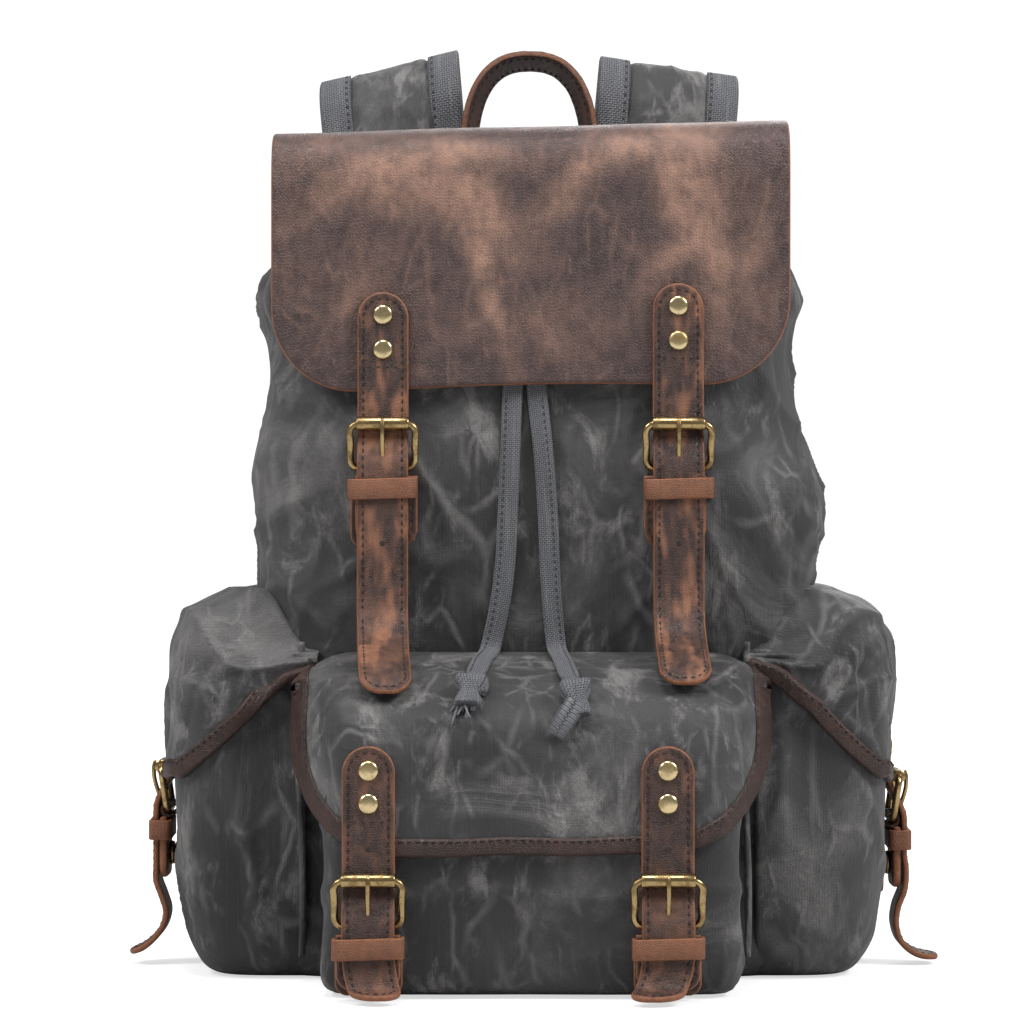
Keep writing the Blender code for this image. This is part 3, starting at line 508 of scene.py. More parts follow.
def group(name, inputs, outputs):
    """An empty node group with these float inputs and outputs, and its two end nodes."""
    tree = bpy.data.node_groups.new(name, "ShaderNodeTree")
    for key, value in inputs.items():
        tree.interface.new_socket(key, in_out="INPUT", socket_type="NodeSocketFloat").default_value = value
    for key in outputs:
        tree.interface.new_socket(key, in_out="OUTPUT", socket_type="NodeSocketFloat")
    graph = Graph(tree)
    return tree, graph, graph.add("NodeGroupInput").outputs, graph.add("NodeGroupOutput").inputs


def weave_group():
    """Threads crossing: each set is a half wave, and they take turns to lie on top."""
    tree, g, given, out = group("plain weave", {"Pitch": 0.001, "Warp": 1.0, "Weft": 1.0},
                                ["Height", "Unevenness"])
    flat = g.add("ShaderNodeTexCoord").outputs["UV"]
    parts = g.add("ShaderNodeSeparateXYZ", {0: flat}).outputs
    wobble = g.cloud(flat, 60.0, 2.0)
    across = g.maths("ADD", g.maths("DIVIDE", parts[0], given["Pitch"]), g.maths("MULTIPLY", wobble, 0.5))
    along = g.maths("ADD", g.maths("DIVIDE", parts[1], given["Pitch"]), g.maths("MULTIPLY", wobble, 0.5))
    warp = g.maths("ABSOLUTE", g.maths("SINE", g.maths("MULTIPLY", across, math.pi)))
    weft = g.maths("ABSOLUTE", g.maths("SINE", g.maths("MULTIPLY", along, math.pi)))
    column = g.maths("FLOOR", across)
    row = g.maths("FLOOR", along)
    turn = g.maths("MODULO", g.maths("ABSOLUTE", g.maths("ADD", column, row)), 2.0)
    high = g.maths("MULTIPLY", g.maths("MULTIPLY", warp, given["Warp"]), g.maths("SUBTRACT", 1.4, turn))
    low = g.maths("MULTIPLY", g.maths("MULTIPLY", weft, given["Weft"]), g.maths("ADD", 0.4, turn))
    g.fill(out["Height"], g.maths("MAXIMUM", high, low))
    streak = g.cloud(g.stretched(flat, (900.0, 30.0, 1.0)), 1.0, 3.0)
    cross = g.cloud(g.stretched(flat, (30.0, 900.0, 1.0)), 1.0, 3.0)
    g.fill(out["Unevenness"], g.maths("MAXIMUM", streak, g.maths("MULTIPLY", cross, 0.8)))
    return tree


def rubbed_group():
    """Cloudy patches, and thin crossing lines where a waxed cloth was folded and the wax whitened."""
    tree, g, given, out = group("rubbed marks", {"Size": 10.0, "Lines": 1.0},
                                ["Patches", "Creases", "Shade", "Smudges", "Fleck"])
    here = g.add("ShaderNodeTexCoord").outputs["Object"]
    bent = g.add("ShaderNodeVectorMath", {0: here, 1: g.add(
        "ShaderNodeTexNoise", {"Vector": here, "Scale": 9.0, "Detail": 3.0}).outputs["Color"]},
        operation="MULTIPLY_ADD")
    g.fill(bent.inputs[2], here)
    bent = g.add("ShaderNodeMix", {0: 0.25, 4: here, 5: bent.outputs[0]}, data_type="VECTOR").outputs[1]
    patch = g.cloud(bent, given["Size"], 5.0, 0.62, 0.9)
    g.fill(out["Patches"], g.spread(patch, 0.47, 0.72))
    g.fill(out["Shade"], g.spread(g.cloud(here, g.maths("MULTIPLY", given["Size"], 0.7), 3.0), 0.35, 0.65))
    lines = 0.0
    waved = g.add("ShaderNodeVectorMath", {0: g.add("ShaderNodeTexNoise",
                                                    {"Vector": here, "Scale": 42.0, "Detail": 2.0}
                                                    ).outputs["Color"], 2: bent}, operation="MULTIPLY_ADD")
    waved.inputs[1].default_value = (0.012, 0.012, 0.012)
    for turn, scale, width in ((0.5, 1.3, 0.045), (-0.8, 2.3, 0.060), (0.2, 3.9, 0.080)):
        source = g.stretched(waved.outputs[0], (1.0, 1.0, 0.45), (0.4, turn, 1.3 * turn))
        edge = g.add("ShaderNodeTexVoronoi", {"Vector": source,
                                              "Scale": g.maths("MULTIPLY", given["Size"], scale),
                                              "Randomness": 1.0},
                                              feature="DISTANCE_TO_EDGE").outputs["Distance"]
        fade = g.spread(g.cloud(source, g.maths("MULTIPLY", given["Size"], 1.7 * scale), 2.0), 0.47, 0.66)
        lines = g.maths("MAXIMUM", lines, g.maths("MULTIPLY", g.spread(edge, 0.0, width, 1.0, 0.0), fade))
    g.fill(out["Creases"], g.maths("MULTIPLY", lines, given["Lines"]))
    smudge = g.cloud(g.stretched(bent, (1.0, 1.0, 0.5), (0.2, 0.5, 0.3)),
                     g.maths("MULTIPLY", given["Size"], 3.2),
                     5.0, 0.68, 0.4)
    g.fill(out["Smudges"], g.spread(smudge, 0.53, 0.70))
    g.fill(out["Fleck"], g.spread(g.cloud(here, 1100.0, 2.0, 0.7), 0.30, 0.70))
    return tree


def grain_group():
    """Hide: small rounded cells between fine folds, over soft hollows."""
    tree, g, given, out = group("hide grain", {"Cells": 900.0, "Streak": 1.0}, ["Height", "Mottle"])
    here = g.add("ShaderNodeTexCoord").outputs["Object"]
    cells = g.add("ShaderNodeTexVoronoi", {"Vector": here, "Scale": given["Cells"], "Randomness": 0.9},
                  feature="DISTANCE_TO_EDGE").outputs["Distance"]
    pebble = g.spread(cells, 0.0, 0.25)
    soft = g.cloud(here, 110.0, 4.0, 0.6)
    streak = g.cloud(g.stretched(here, (260.0, 260.0, 110.0)), 1.0, 3.0)
    height = g.maths("ADD", g.maths("MULTIPLY", pebble, 0.5), soft)
    g.fill(out["Height"], g.maths("ADD", height,
                                  g.maths("MULTIPLY", g.maths("MULTIPLY", streak, given["Streak"]), 0.5)))
    g.fill(out["Mottle"], g.maths("MULTIPLY", g.maths("ADD", streak, soft), 0.5))
    return tree


def placed(graph, name, builder, values):
    """A group's outputs in a material, the group being built the first time it is wanted."""
    tree = bpy.data.node_groups.get(name) or builder()
    node = graph.add("ShaderNodeGroup", node_tree=tree)
    for key, value in values.items():
        node.inputs[key].default_value = value
    return node.outputs


def blank_material(name):
    material = bpy.data.materials.new(name)
    material.use_nodes = True
    shader = material.node_tree.nodes["Principled BSDF"]
    return material, Graph(material.node_tree), shader


def attribute(graph, name):
    return graph.add("ShaderNodeAttribute", attribute_name=name).outputs["Fac"]


def raise_from(graph, shader, height, depth, strength=1.0):
    normal = graph.add("ShaderNodeBump", {"Height": height, "Distance": depth, "Strength": strength})
    graph.fill(shader.inputs["Normal"], normal.outputs[0])


def colour(name):
    return (*getattr(bpy.context.scene.backpack_colours, name), 1.0)


def canvas_finish(name, tint=1.0, size=10.0):
    material, g, shader = blank_material(name)
    weave = placed(g, "plain weave", weave_group, {"Pitch": 0.00075, "Warp": 1.0, "Weft": 0.6})
    rubbed = placed(g, "rubbed marks", rubbed_group, {"Size": size, "Lines": 1.0})
    base = g.mix(rubbed["Shade"], colour("canvas_dark"), colour("canvas"))
    base = g.mix(g.maths("MULTIPLY", g.spread(weave["Unevenness"], 0.42, 0.72), 0.45), base, colour("canvas"))
    base = g.mix(g.maths("MULTIPLY", rubbed["Patches"], 0.42), base, colour("chalk"))
    base = g.mix(g.maths("MULTIPLY", rubbed["Smudges"], 0.66), base, colour("chalk"))
    base = g.mix(g.maths("MULTIPLY", rubbed["Creases"], 0.34), base, colour("chalk"))
    base = g.mix(attribute(g, "rub"), base, colour("chalk"))
    base = g.mix(g.maths("MULTIPLY", rubbed["Fleck"], 0.38), base, colour("canvas_dark"))
    shade = g.spread(weave["Height"], 0.1, 1.0, 0.55, 1.0)
    base = g.add("ShaderNodeMix", {0: 1.0, 6: base, 7: shade}, data_type="RGBA",
                 blend_type="MULTIPLY").outputs[2]
    # Painted shade: the whole colour is scaled by this share, making a darker copy of the canvas for the
    # shade on the front pocket's face
    base = g.mix(tint, (0.0, 0.0, 0.0, 1.0), base)
    g.fill(shader.inputs["Base Color"], base)
    g.fill(shader.inputs["Roughness"], g.spread(rubbed["Shade"], 0.0, 1.0, 0.50, 0.66))
    shader.inputs["Specular IOR Level"].default_value = 0.42
    shader.inputs["Sheen Weight"].default_value = 0.12
    shader.inputs["Sheen Roughness"].default_value = 0.5
    height = g.maths("ADD", g.maths("MULTIPLY", weave["Height"], 0.10),
                     g.maths("MULTIPLY", rubbed["Patches"], 0.9))
    height = g.maths("ADD", height, g.maths("MULTIPLY", rubbed["Creases"], 0.45))
    height = g.maths("ADD", height, g.maths("MULTIPLY", rubbed["Smudges"], 0.30))
    here = g.add("ShaderNodeTexCoord").outputs["Object"]
    height = g.maths("ADD", height, g.maths("MULTIPLY", g.cloud(here, 55.0, 4.0, 0.6, 0.6), 1.1))
    raise_from(g, shader, height, 0.0011)
    return material


def leather_finish(name, tones=("leather_dark", "leather", "leather_rub"), patches=0.35, cells=900.0):
    material, g, shader = blank_material(name)
    grain = placed(g, "hide grain", grain_group, {"Cells": cells, "Streak": 0.8})
    rubbed = placed(g, "rubbed marks", rubbed_group, {"Size": 14.0, "Lines": 1.0})
    mottle = g.spread(grain["Mottle"], 0.38, 0.66)
    deep, middle, pale = (colour(key) for key in tones)
    base = g.mix(mottle, deep, middle)
    worn = g.maths("MULTIPLY", rubbed["Patches"], patches)
    worn = g.maths("MAXIMUM", worn, attribute(g, "rub"))
    worn = g.maths("MULTIPLY", worn, g.spread(grain["Mottle"], 0.30, 0.62, 0.55, 1.0))
    base = g.mix(worn, base, pale)
    base = g.mix(g.maths("MULTIPLY", rubbed["Creases"], 0.16), base, pale)
    edge = g.spread(attribute(g, "rim"), 0.0003, 0.0010, 1.0, 0.0)
    edge = g.maths("MULTIPLY", edge, g.spread(g.cloud(g.add("ShaderNodeTexCoord").outputs["Object"], 300.0),
                                              0.3, 0.6, 0.65, 1.0))
    base = g.mix(edge, base, colour("raw_edge"))
    g.fill(shader.inputs["Base Color"], base)
    g.fill(shader.inputs["Roughness"], g.maths("ADD", g.maths("MULTIPLY", worn, 0.10), g.spread(
        grain["Mottle"], 0.35, 0.7, 0.40, 0.56)))
    shader.inputs["Specular IOR Level"].default_value = 0.45
    raise_from(g, shader, grain["Height"], 0.00035)
    return material


def webbing_finish(name, pitch, tone="webbing"):
    material, g, shader = blank_material(name)
    weave = placed(g, "plain weave", weave_group, {"Pitch": pitch, "Warp": 1.0, "Weft": 1.0})
    # Painted shade: where the weave is low, between threads, the colour is darkened
    base = g.mix(g.spread(weave["Height"], 0.15, 1.1), colour("webbing_dark"), colour(tone))
    base = g.mix(g.maths("MULTIPLY", g.spread(weave["Unevenness"], 0.5, 0.75), 0.35), base, colour("chalk"))
    g.fill(shader.inputs["Base Color"], base)
    shader.inputs["Roughness"].default_value = 0.88
    shader.inputs["Specular IOR Level"].default_value = 0.25
    raise_from(g, shader, weave["Height"], 0.0004)
    return material


def brass_finish(name, bright="brass", dull="brass_dark"):
    material, g, shader = blank_material(name)
    here = g.add("ShaderNodeTexCoord").outputs["Object"]
    tarnish = g.spread(g.cloud(here, 160.0, 5.0, 0.65), 0.42, 0.68)
    g.fill(shader.inputs["Base Color"], g.mix(tarnish, colour(bright), colour(dull)))
    g.fill(shader.inputs["Roughness"], g.spread(tarnish, 0.0, 1.0, 0.22, 0.42))
    shader.inputs["Metallic"].default_value = 1.0
    raise_from(g, shader, g.cloud(here, 500.0, 2.0), 0.00002)
    return material


def plain_cloth_finish(name, tone, pitch):
    material, g, shader = blank_material(name)
    weave = placed(g, "plain weave", weave_group, {"Pitch": pitch, "Warp": 1.0, "Weft": 1.0})
    here = g.add("ShaderNodeTexCoord").outputs["Object"]
    # low is the tone at six tenths: used for random mottle, and below for painted shade between the weave's
    # threads
    low = tuple(0.6 * part for part in colour(tone)[:3]) + (1.0,)
    base = g.mix(g.spread(g.cloud(here, 20.0), 0.3, 0.7), low, colour(tone))
    # Painted shade: where the weave is low, between threads, the colour darkens to low
    base = g.mix(g.spread(weave["Height"], 0.1, 0.9, 0.35, 0.0), base, low)
    g.fill(shader.inputs["Base Color"], base)
    shader.inputs["Roughness"].default_value = 0.85
    raise_from(g, shader, weave["Height"], 0.0003)
    return material


def thread_finish(name, tone):
    material, g, shader = blank_material(name)
    here = g.add("ShaderNodeTexCoord").outputs["Object"]
    low = tuple(0.45 * part for part in colour(tone)[:3]) + (1.0,)
    g.fill(shader.inputs["Base Color"], g.mix(g.spread(g.cloud(here, 900.0, 2.0), 0.35, 0.65), low,
                                              colour(tone)))
    shader.inputs["Roughness"].default_value = 0.75
    return material


FINISHES = {
    "canvas": canvas_finish,
    "hood canvas": lambda name: canvas_finish(name, size=13.0),
    # The front pocket's canvas: the same canvas scaled darker, as painted shade
    "pocket canvas": lambda name: canvas_finish(name, tint=0.74, size=11.0),
    "leather": leather_finish,
    "flap leather": lambda name: leather_finish(name, ("flap_dark", "flap", "flap_rub"), 0.15, 620.0),
    "keeper leather": lambda name: leather_finish(name, ("leather", "keeper", "leather_rub"), 0.2),
    "binding leather": lambda name: leather_finish(name, ("leather_dark", "binding", "leather"), 0.5),
    "webbing": lambda name: webbing_finish(name, 0.0012),
    "tape": lambda name: webbing_finish(name, 0.0010),
    "brass": brass_finish,
    "rivet brass": lambda name: brass_finish(name, "rivet", "brass"),
    "lining": lambda name: plain_cloth_finish(name, "lining", 0.0006),
    "board": lambda name: plain_cloth_finish(name, "board", 0.002),
    "thread": lambda name: thread_finish(name, "thread"),
    "grey thread": lambda name: thread_finish(name, "grey_thread"),
    "raw": lambda name: thread_finish(name, "raw_edge"),
}


def finish_of(name):
    return bpy.data.materials.get("worn " + name) or FINISHES[name]("worn " + name)


# ---------------------------------------------------------------- sizes and colours to change

def metres(name, description, default):
    return FloatProperty(name=name, description=description, default=default, min=0.0, unit="LENGTH",
                         precision=4)


def tone(name, description, default):
    return FloatVectorProperty(name=name, description=description, default=default, size=3, min=0.0, max=1.0,
                               subtype="COLOR")


class BackpackSizes(bpy.types.PropertyGroup):
    stitch: metres("Stitch", "Distance from one stitch to the next on leather", 0.0038)
    rivet: metres("Rivet", "Diameter of a rivet's head", 0.0097)
    canvas: metres("Canvas", "Thickness of the waxed canvas", 0.0022)
    leather: metres("Leather", "Thickness of the flap's and straps' leather", 0.0030)
    binding: metres("Binding", "Width of the leather folded over a pocket flap's edge", 0.0066)
    tape: metres("Tape", "Width of the drawstring's folded tape", 0.0100)
    edging: metres("Edging", "Width of the webbing folded over a shoulder strap's edge", 0.0145)
    gather: metres("Gather", "How far the folds stand out at the gathered mouth", 0.0050)


class BackpackColours(bpy.types.PropertyGroup):
    canvas: tone("Canvas", "Waxed canvas", (0.062, 0.060, 0.062))
    canvas_dark: tone("Dark canvas", "Waxed canvas where the wax is thick", (0.020, 0.019, 0.020))
    chalk: tone("Chalk", "Canvas where rubbing has whitened the wax", (0.330, 0.318, 0.312))
    leather: tone("Leather", "Oiled leather", (0.066, 0.030, 0.022))
    leather_dark: tone("Dark leather", "Oiled leather in its hollows", (0.026, 0.012, 0.010))
    leather_rub: tone("Rubbed leather", "Leather rubbed pale", (0.300, 0.130, 0.070))
    flap: tone("Flap", "The flap's oiled leather", (0.078, 0.047, 0.043))
    flap_dark: tone("Dark flap", "The flap's leather in its hollows", (0.044, 0.026, 0.025))
    flap_rub: tone("Rubbed flap", "The flap's leather rubbed pale", (0.400, 0.225, 0.160))
    keeper: tone("Keeper", "Leather of the keepers' bands", (0.150, 0.062, 0.036))
    binding: tone("Binding", "Leather folded over the pocket flaps' edges", (0.050, 0.022, 0.016))
    raw_edge: tone("Raw edge", "Cut edge of the leather", (0.270, 0.100, 0.042))
    webbing: tone("Webbing", "Woven webbing and tape", (0.165, 0.168, 0.180))
    # Painted shade between the webbing's threads, mixed in by the weave's height
    webbing_dark: tone("Dark webbing", "Webbing between its threads", (0.045, 0.046, 0.052))
    brass: tone("Brass", "Worn brass", (0.430, 0.310, 0.145))
    brass_dark: tone("Tarnished brass", "Brass where it is tarnished", (0.230, 0.155, 0.070))
    rivet: tone("Rivets", "Brass of the rivets", (0.720, 0.580, 0.330))
    lining: tone("Lining", "Lining and laptop sleeve", (0.250, 0.200, 0.140))
    board: tone("Board", "Stiff board in the base", (0.030, 0.030, 0.032))
    # The thread colour is also the painted shade of the discs at each punched hole in the straps
    thread: tone("Thread", "Thread on leather", (0.030, 0.018, 0.014))
    grey_thread: tone("Grey thread", "Thread on webbing", (0.050, 0.052, 0.062))


def sizes():
    return bpy.context.scene.backpack_sizes


# ---------------------------------------------------------------- stage

class BACKPACK_OT_stage(bpy.types.Operator):
    """Make the pale floor, the soft lights and the camera"""
    bl_idname = "backpack.stage"
    bl_label = "Stage"

    def execute(self, context):
        scene = context.scene
        scene.view_settings.view_transform = "Standard"
        camera = bpy.data.objects.new("camera", bpy.data.cameras.new("camera"))
        camera.location = Vector((-0.0092 + SHIFT[0], -2.0 + SHIFT[1], 0.2294))
        camera.rotation_euler = (math.radians(90), 0, 0)
        camera.data.lens = 137.9
        camera.data.sensor_width = 36.0
        scene.collection.objects.link(camera)
        scene.camera = camera
        self.light("left", (-1.7, -1.0, 2.0), 1.0, 36.0)
        self.light("right", (1.75, -0.85, 1.75), 1.0, 44.0)
        self.light("top", (-0.15, -0.65, 2.4), 0.9, 30.0)
        self.light("back", (0.5, 2.1, 1.6), 1.5, 22.0)
        world = bpy.data.worlds.new("studio")
        world.use_nodes = True
        graph = Graph(world.node_tree)
        seen = graph.add("ShaderNodeLightPath").outputs["Is Camera Ray"]
        sky = world.node_tree.nodes["Background"]
        sky.inputs["Color"].default_value = (1.0, 1.0, 1.0, 1.0)
        graph.fill(sky.inputs["Strength"], graph.spread(seen, 0.0, 1.0, 0.24, 1.05))
        scene.world = world
        mesh = bpy.data.meshes.new("floor")
        reach = 6.0
        mesh.from_pydata([(-reach, -reach, -0.0005), (reach, -reach, -0.0005), (reach, reach, -0.0005),
                          (-reach, reach, -0.0005)], [], [(0, 1, 2, 3)])
        floor = bpy.data.objects.new("floor", mesh)
        scene.collection.objects.link(floor)
        material, graph, shader = blank_material("floor")
        speckle = graph.cloud(graph.add("ShaderNodeTexCoord").outputs["Object"], 40.0)
        graph.fill(shader.inputs["Base Color"],
                   graph.mix(speckle, (0.60, 0.60, 0.60, 1), (0.63, 0.63, 0.63, 1)))
        shader.inputs["Roughness"].default_value = 0.9
        shader.inputs["Specular IOR Level"].default_value = 0.1
        shader.inputs["Emission Color"].default_value = (1.0, 1.0, 1.0, 1.0)
        seen = graph.add("ShaderNodeLightPath").outputs["Is Camera Ray"]
        here = graph.add("ShaderNodeTexCoord").outputs["Object"]
        away = graph.add("ShaderNodeVectorMath", {0: here}, operation="LENGTH").outputs["Value"]
        glow = graph.spread(away, 0.30, 0.95, 0.62, 1.05)
        graph.fill(shader.inputs["Emission Strength"], graph.maths("MULTIPLY", seen, glow))
        mesh.materials.append(material)
        return {"FINISHED"}

    def light(self, name, place, size, power):
        data = bpy.data.lights.new(name, "AREA")
        data.shape = "DISK"
        data.size = size
        data.energy = power
        lamp = bpy.data.objects.new(name, data)
        lamp.location = Vector(place)
        lamp.rotation_euler = (Vector((0, 0, 0.2)) - lamp.location).to_track_quat("-Z", "Y").to_euler()
        bpy.context.scene.collection.objects.link(lamp)


# ---------------------------------------------------------------- drawstring

# Each tail's route in two stretches: down the body, and over the front pocket's flap
TAILS = {
    "left": ([(-0.006, -0.0555, 0.4040), (-0.008, -0.0600, 0.3900), (-0.008, -0.0630, 0.3650),
              (-0.008, -0.0705, 0.3350), (-0.008, -0.0765, 0.3000), (-0.009, -0.0782, 0.2880),
              (-0.010, -0.0822, 0.2600), (-0.0112, -0.0824, 0.2300), (-0.0125, -0.0824, 0.2050),
              (-0.0150, -0.0824, 0.1850), (-0.0190, -0.0828, 0.1660)],
             [(-0.0205, -0.0890, 0.1610), (-0.0235, -0.1040, 0.1582), (-0.0262, -0.1220, 0.1530),
              (-0.0280, -0.1360, 0.1490), (-0.0292, -0.1460, 0.1455), (-0.0305, -0.1540, 0.1395)]),
    "right": ([(0.004, -0.0555, 0.4040), (0.003, -0.0600, 0.3900), (0.003, -0.0630, 0.3650),
               (0.003, -0.0705, 0.3350), (0.003, -0.0765, 0.3000), (0.003, -0.0782, 0.2880),
               (0.006, -0.0822, 0.2600), (0.0082, -0.0824, 0.2300), (0.0092, -0.0824, 0.2050),
               (0.0104, -0.0824, 0.1850), (0.0122, -0.0828, 0.1660)],
              [(0.0133, -0.0890, 0.1610), (0.0150, -0.1040, 0.1582), (0.0175, -0.1240, 0.1525),
               (0.0195, -0.1400, 0.1478), (0.0212, -0.1510, 0.1420), (0.0222, -0.1580, 0.1340)]),
}


class BACKPACK_OT_drawstring(bpy.types.Operator):
    """Make the two tails of folded tape, each with a knot and a loose end"""
    bl_idname = "backpack.drawstring"
    bl_label = "Drawstring tails"

    def execute(self, context):
        for side, (hanging, lying) in TAILS.items():
            self.tail(side, curve_through(hanging + lying, 0.0012))
        return {"FINISHED"}

    def tail(self, side, line):
        """A rounded slab carried along the route; near the end it swells to the knot, then flares and frays.

        The tape's width lies across the front of the bag and its thickness along the normal of the route.
        """
        run = run_of(line)
        length = run[-1]
        along = unit(np.gradient(line, axis=0))
        left = run - (length - 0.020)
        across = unit(np.stack([np.ones(len(run)), 0.25 * np.sin(run * 31.0), np.zeros(len(run))], -1))
        across = unit(across - along * (across * along).sum(-1, keepdims=True))
        up = np.cross(across, along)
        up = up * -np.sign(up[:, 1:2])
        half = sizes().tape / 2
        section = slab_section(half, 0.0011, 0.0010)
        knot = bump(left, 0.0035, 0.0052)
        waist = 1 - 0.28 * bump(left, -0.007, 0.005) - 0.15 * bump(left, 0.0105, 0.0030)
        thick = 1 + 0.6 * ease(-0.014, -0.004, left)
        body = "drawstring_" + side
        hinge = ("root", "front_pocket_flap")
        start = tuple(SHIFT + [0.0, -0.0825, 0.1700])
        end = tuple(SHIFT + [0.0, -0.0960, 0.1590])

        def slab(name, rows, wide, thick, lump):
            grid = line[rows, None] + (across[rows, None] * section[:, :1] * wide[rows, None, None]
                                       + up[rows, None] * section[:, 1:] * thick[rows, None, None])
            grid = np.concatenate([grid, grid[:, :1]], axis=1)
            grid = grid + unit(grid - line[rows, None]) * (noise(grid, 0.006, 5) * lump)[..., None]
            ends = [np.repeat(line[rows][k][None, None], grid.shape[1], axis=1) for k in (0, -1)]
            grid = np.vstack([ends[0], grid, ends[1]])
            stops = np.concatenate([run[rows][:1], run[rows], run[rows][-1:]])
            flat = np.stack(np.broadcast_arrays(run_of(np.vstack([section, section[:1]]))[None, :],
                                                stops[:, None]), -1)
            piece = surface(name, [(grid, flat, None)], "tape", None)
            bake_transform(piece)
            return piece

        piece = slab(body, run >= 0, waist, thick, 0.0)
        tied = slab(body + "_knot", left > -0.006,
                    waist + 0.52 * knot + 0.25 * ease(0.012, 0.018, left) + 0.02,
                    thick + 3.6 * knot, 0.0011)
        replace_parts(piece, "drawstring_tail_" + side, "drawstring_end_" + side)
        seam_at = 0.0026 if side == "right" else -0.0026
        shown = (run > 0.12) & (run < length - 0.026)
        seam = np.stack([np.full(shown.sum(), seam_at), run[shown]], -1)

        def place(x, t, lift):
            spots = [np.stack([np.interp(t, run, part[:, k]) for k in range(3)], -1) for part in (line,
                    across, up)]
            return spots[0] + spots[1] * x[..., None] + spots[2] * (lift + 0.0011)

        threads = stitch(f"drawstring_stitching_{side}", place, [seam], None, "grey thread", 0.0034)
        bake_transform(threads)
        self.loose_end(side, line, hinge, start, end)

    def loose_end(self, side, line, hinge, start, end):
        """The tape beyond the knot: one flat fold on the right, a fringe of bent threads on the left."""
        base, ahead = line[-8], unit(line[-1] - line[-8])
        lean = np.array([-0.55, -0.05, -0.83]) if side == "right" else np.array([-0.35, -0.1, -0.93])
        if side == "right":
            stops = np.linspace(0, 0.019, 12)
            middle = base + stops[:, None] * unit(lean) + np.array([0.0, -0.0035, 0.0])
            middle[:, 1] -= 0.002 * np.sin(stops * 160)
            wide = unit(np.array([0.83, 0.0, -0.55]))
            section = slab_section(0.0052, 0.0013, 0.001)
            scale = np.ones(len(stops))
            grid = sweep(middle, np.repeat(wide[None], 12, 0), np.repeat([[0.0, -1.0, 0.0]], 12, 0), section,
                         scale)
            flat = np.stack(np.broadcast_arrays(np.linspace(0, 0.026, grid.shape[1])[None, :],
                                                np.linspace(0, 0.02, len(grid))[:, None]), -1)
            piece = surface("drawstring_fold_right", [(grid, flat, None)], "tape", None)
        else:
            draws = np.random.default_rng(11)
            sheets = []
            for _ in range(16):
                reach = draws.uniform(0.007, 0.013)
                drift = draws.normal(0, 0.35, 3)
                steps = np.linspace(0, 1, 7)[:, None]
                root = base + ahead * 0.004 + draws.uniform(-1, 1) * np.array([0.0048, 0, 0.0014])
                strand = root + reach * (steps * unit(lean + drift * 0.6) + steps ** 2 * drift * 0.35)
                sheets.append((wire(strand, 0.00055, (0.2, 1.0, 0.1), 6), None, None))
            piece = surface("drawstring_fray_left", sheets, "tape", None)
        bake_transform(piece)


# ---------------------------------------------------------------- body

def bag_sheets(half, middle_y, power, levels, wall, relief=None, columns=240, step=0.003, floor=0.0):
    """A bag: rings of a squared oval from the middle of its floor, up its sides and down inside from its rim.

    Each level is (height, sides, front, back), the last three being how far the ring draws in, and a smooth
    curve runs through them. Relief moves the outside out along the oval's normal.
    """
    profile = curve_through(levels, step)
    x_share, y_share, around = squared_oval(*half, power, columns)
    normal = unit(np.stack([np.sign(x_share) * np.abs(x_share) ** (power - 1) / half[0],
                            np.sign(y_share) * np.abs(y_share) ** (power - 1) / half[1]], -1))

    def rings(rows, inset, out):
        height, side, front, back = (rows[:, k][:, None] for k in range(4))
        x = x_share * (half[0] - side - inset) + normal[:, 0] * out
        y = middle_y + (front - back) / 2 + y_share * (half[1] - (front + back) / 2 - inset) + normal[:,
                1] * out
        return np.stack([x, y, np.broadcast_to(height, x.shape)], -1)

    out = relief(around[None, :], profile[:, :1], x_share[None, :], y_share[None, :]) if relief else 0.0
    outside = rings(profile, 0.0, out)
    inner = profile[profile[:, 0] > floor + wall]
    inside = rings(inner, wall, 0.0)[::-1].copy()
    bottoms = []
    for ring in (outside[0], inside[-1]):
        centre = np.append(ring[:, :2].mean(0), ring[0, 2])
        bottoms.append(centre + (ring - centre)[None] * np.array([0.0, 0.45, 0.8, 0.95])[:, None, None])
    grid = np.vstack([bottoms[0], outside, inside, bottoms[1][::-1]])
    run = np.cumsum(np.linalg.norm(np.diff(grid[:, 0], axis=0, prepend=grid[:1, 0]), axis=-1))
    flat = np.stack(np.broadcast_arrays(around[None, :], run[:, None]), -1)
    return [(grid, flat, None)]


BODY_LEVELS = [
    (0.000, 0.014, 0.012, 0.010), (0.004, 0.008, 0.006, 0.005), (0.014, 0.002, 0.001, 0.001),
    (0.050, 0.0, 0.0, 0.0), (0.120, 0.004, 0.0, 0.0), (MOUTH - 0.200, 0.0075, 0.0, 0.0),
    (MOUTH - 0.150, 0.0090, 0.0, 0.0), (MOUTH - 0.100, 0.0130, 0.006, 0.0),
    (MOUTH - 0.065, 0.0140, 0.012, 0.001), (MOUTH - 0.035, 0.0220, 0.020, 0.002),
    (MOUTH - 0.010, 0.032, 0.028, 0.003), (MOUTH, 0.036, 0.030, 0.003),
]


def gather_relief(around, height):
    """Folds that grow towards the gathered mouth: ridged noise round the bag, stretched up and down."""
    spots = np.stack(np.broadcast_arrays(around, height * 0.16, 0.0), -1)
    folds = ridges(spots, 0.021, 3, 2.2) + 0.5 * ridges(spots, 0.011, 8, 2.0)
    return sizes().gather * ease(MOUTH - 0.115, MOUTH - 0.02, height) * (folds - 0.25)


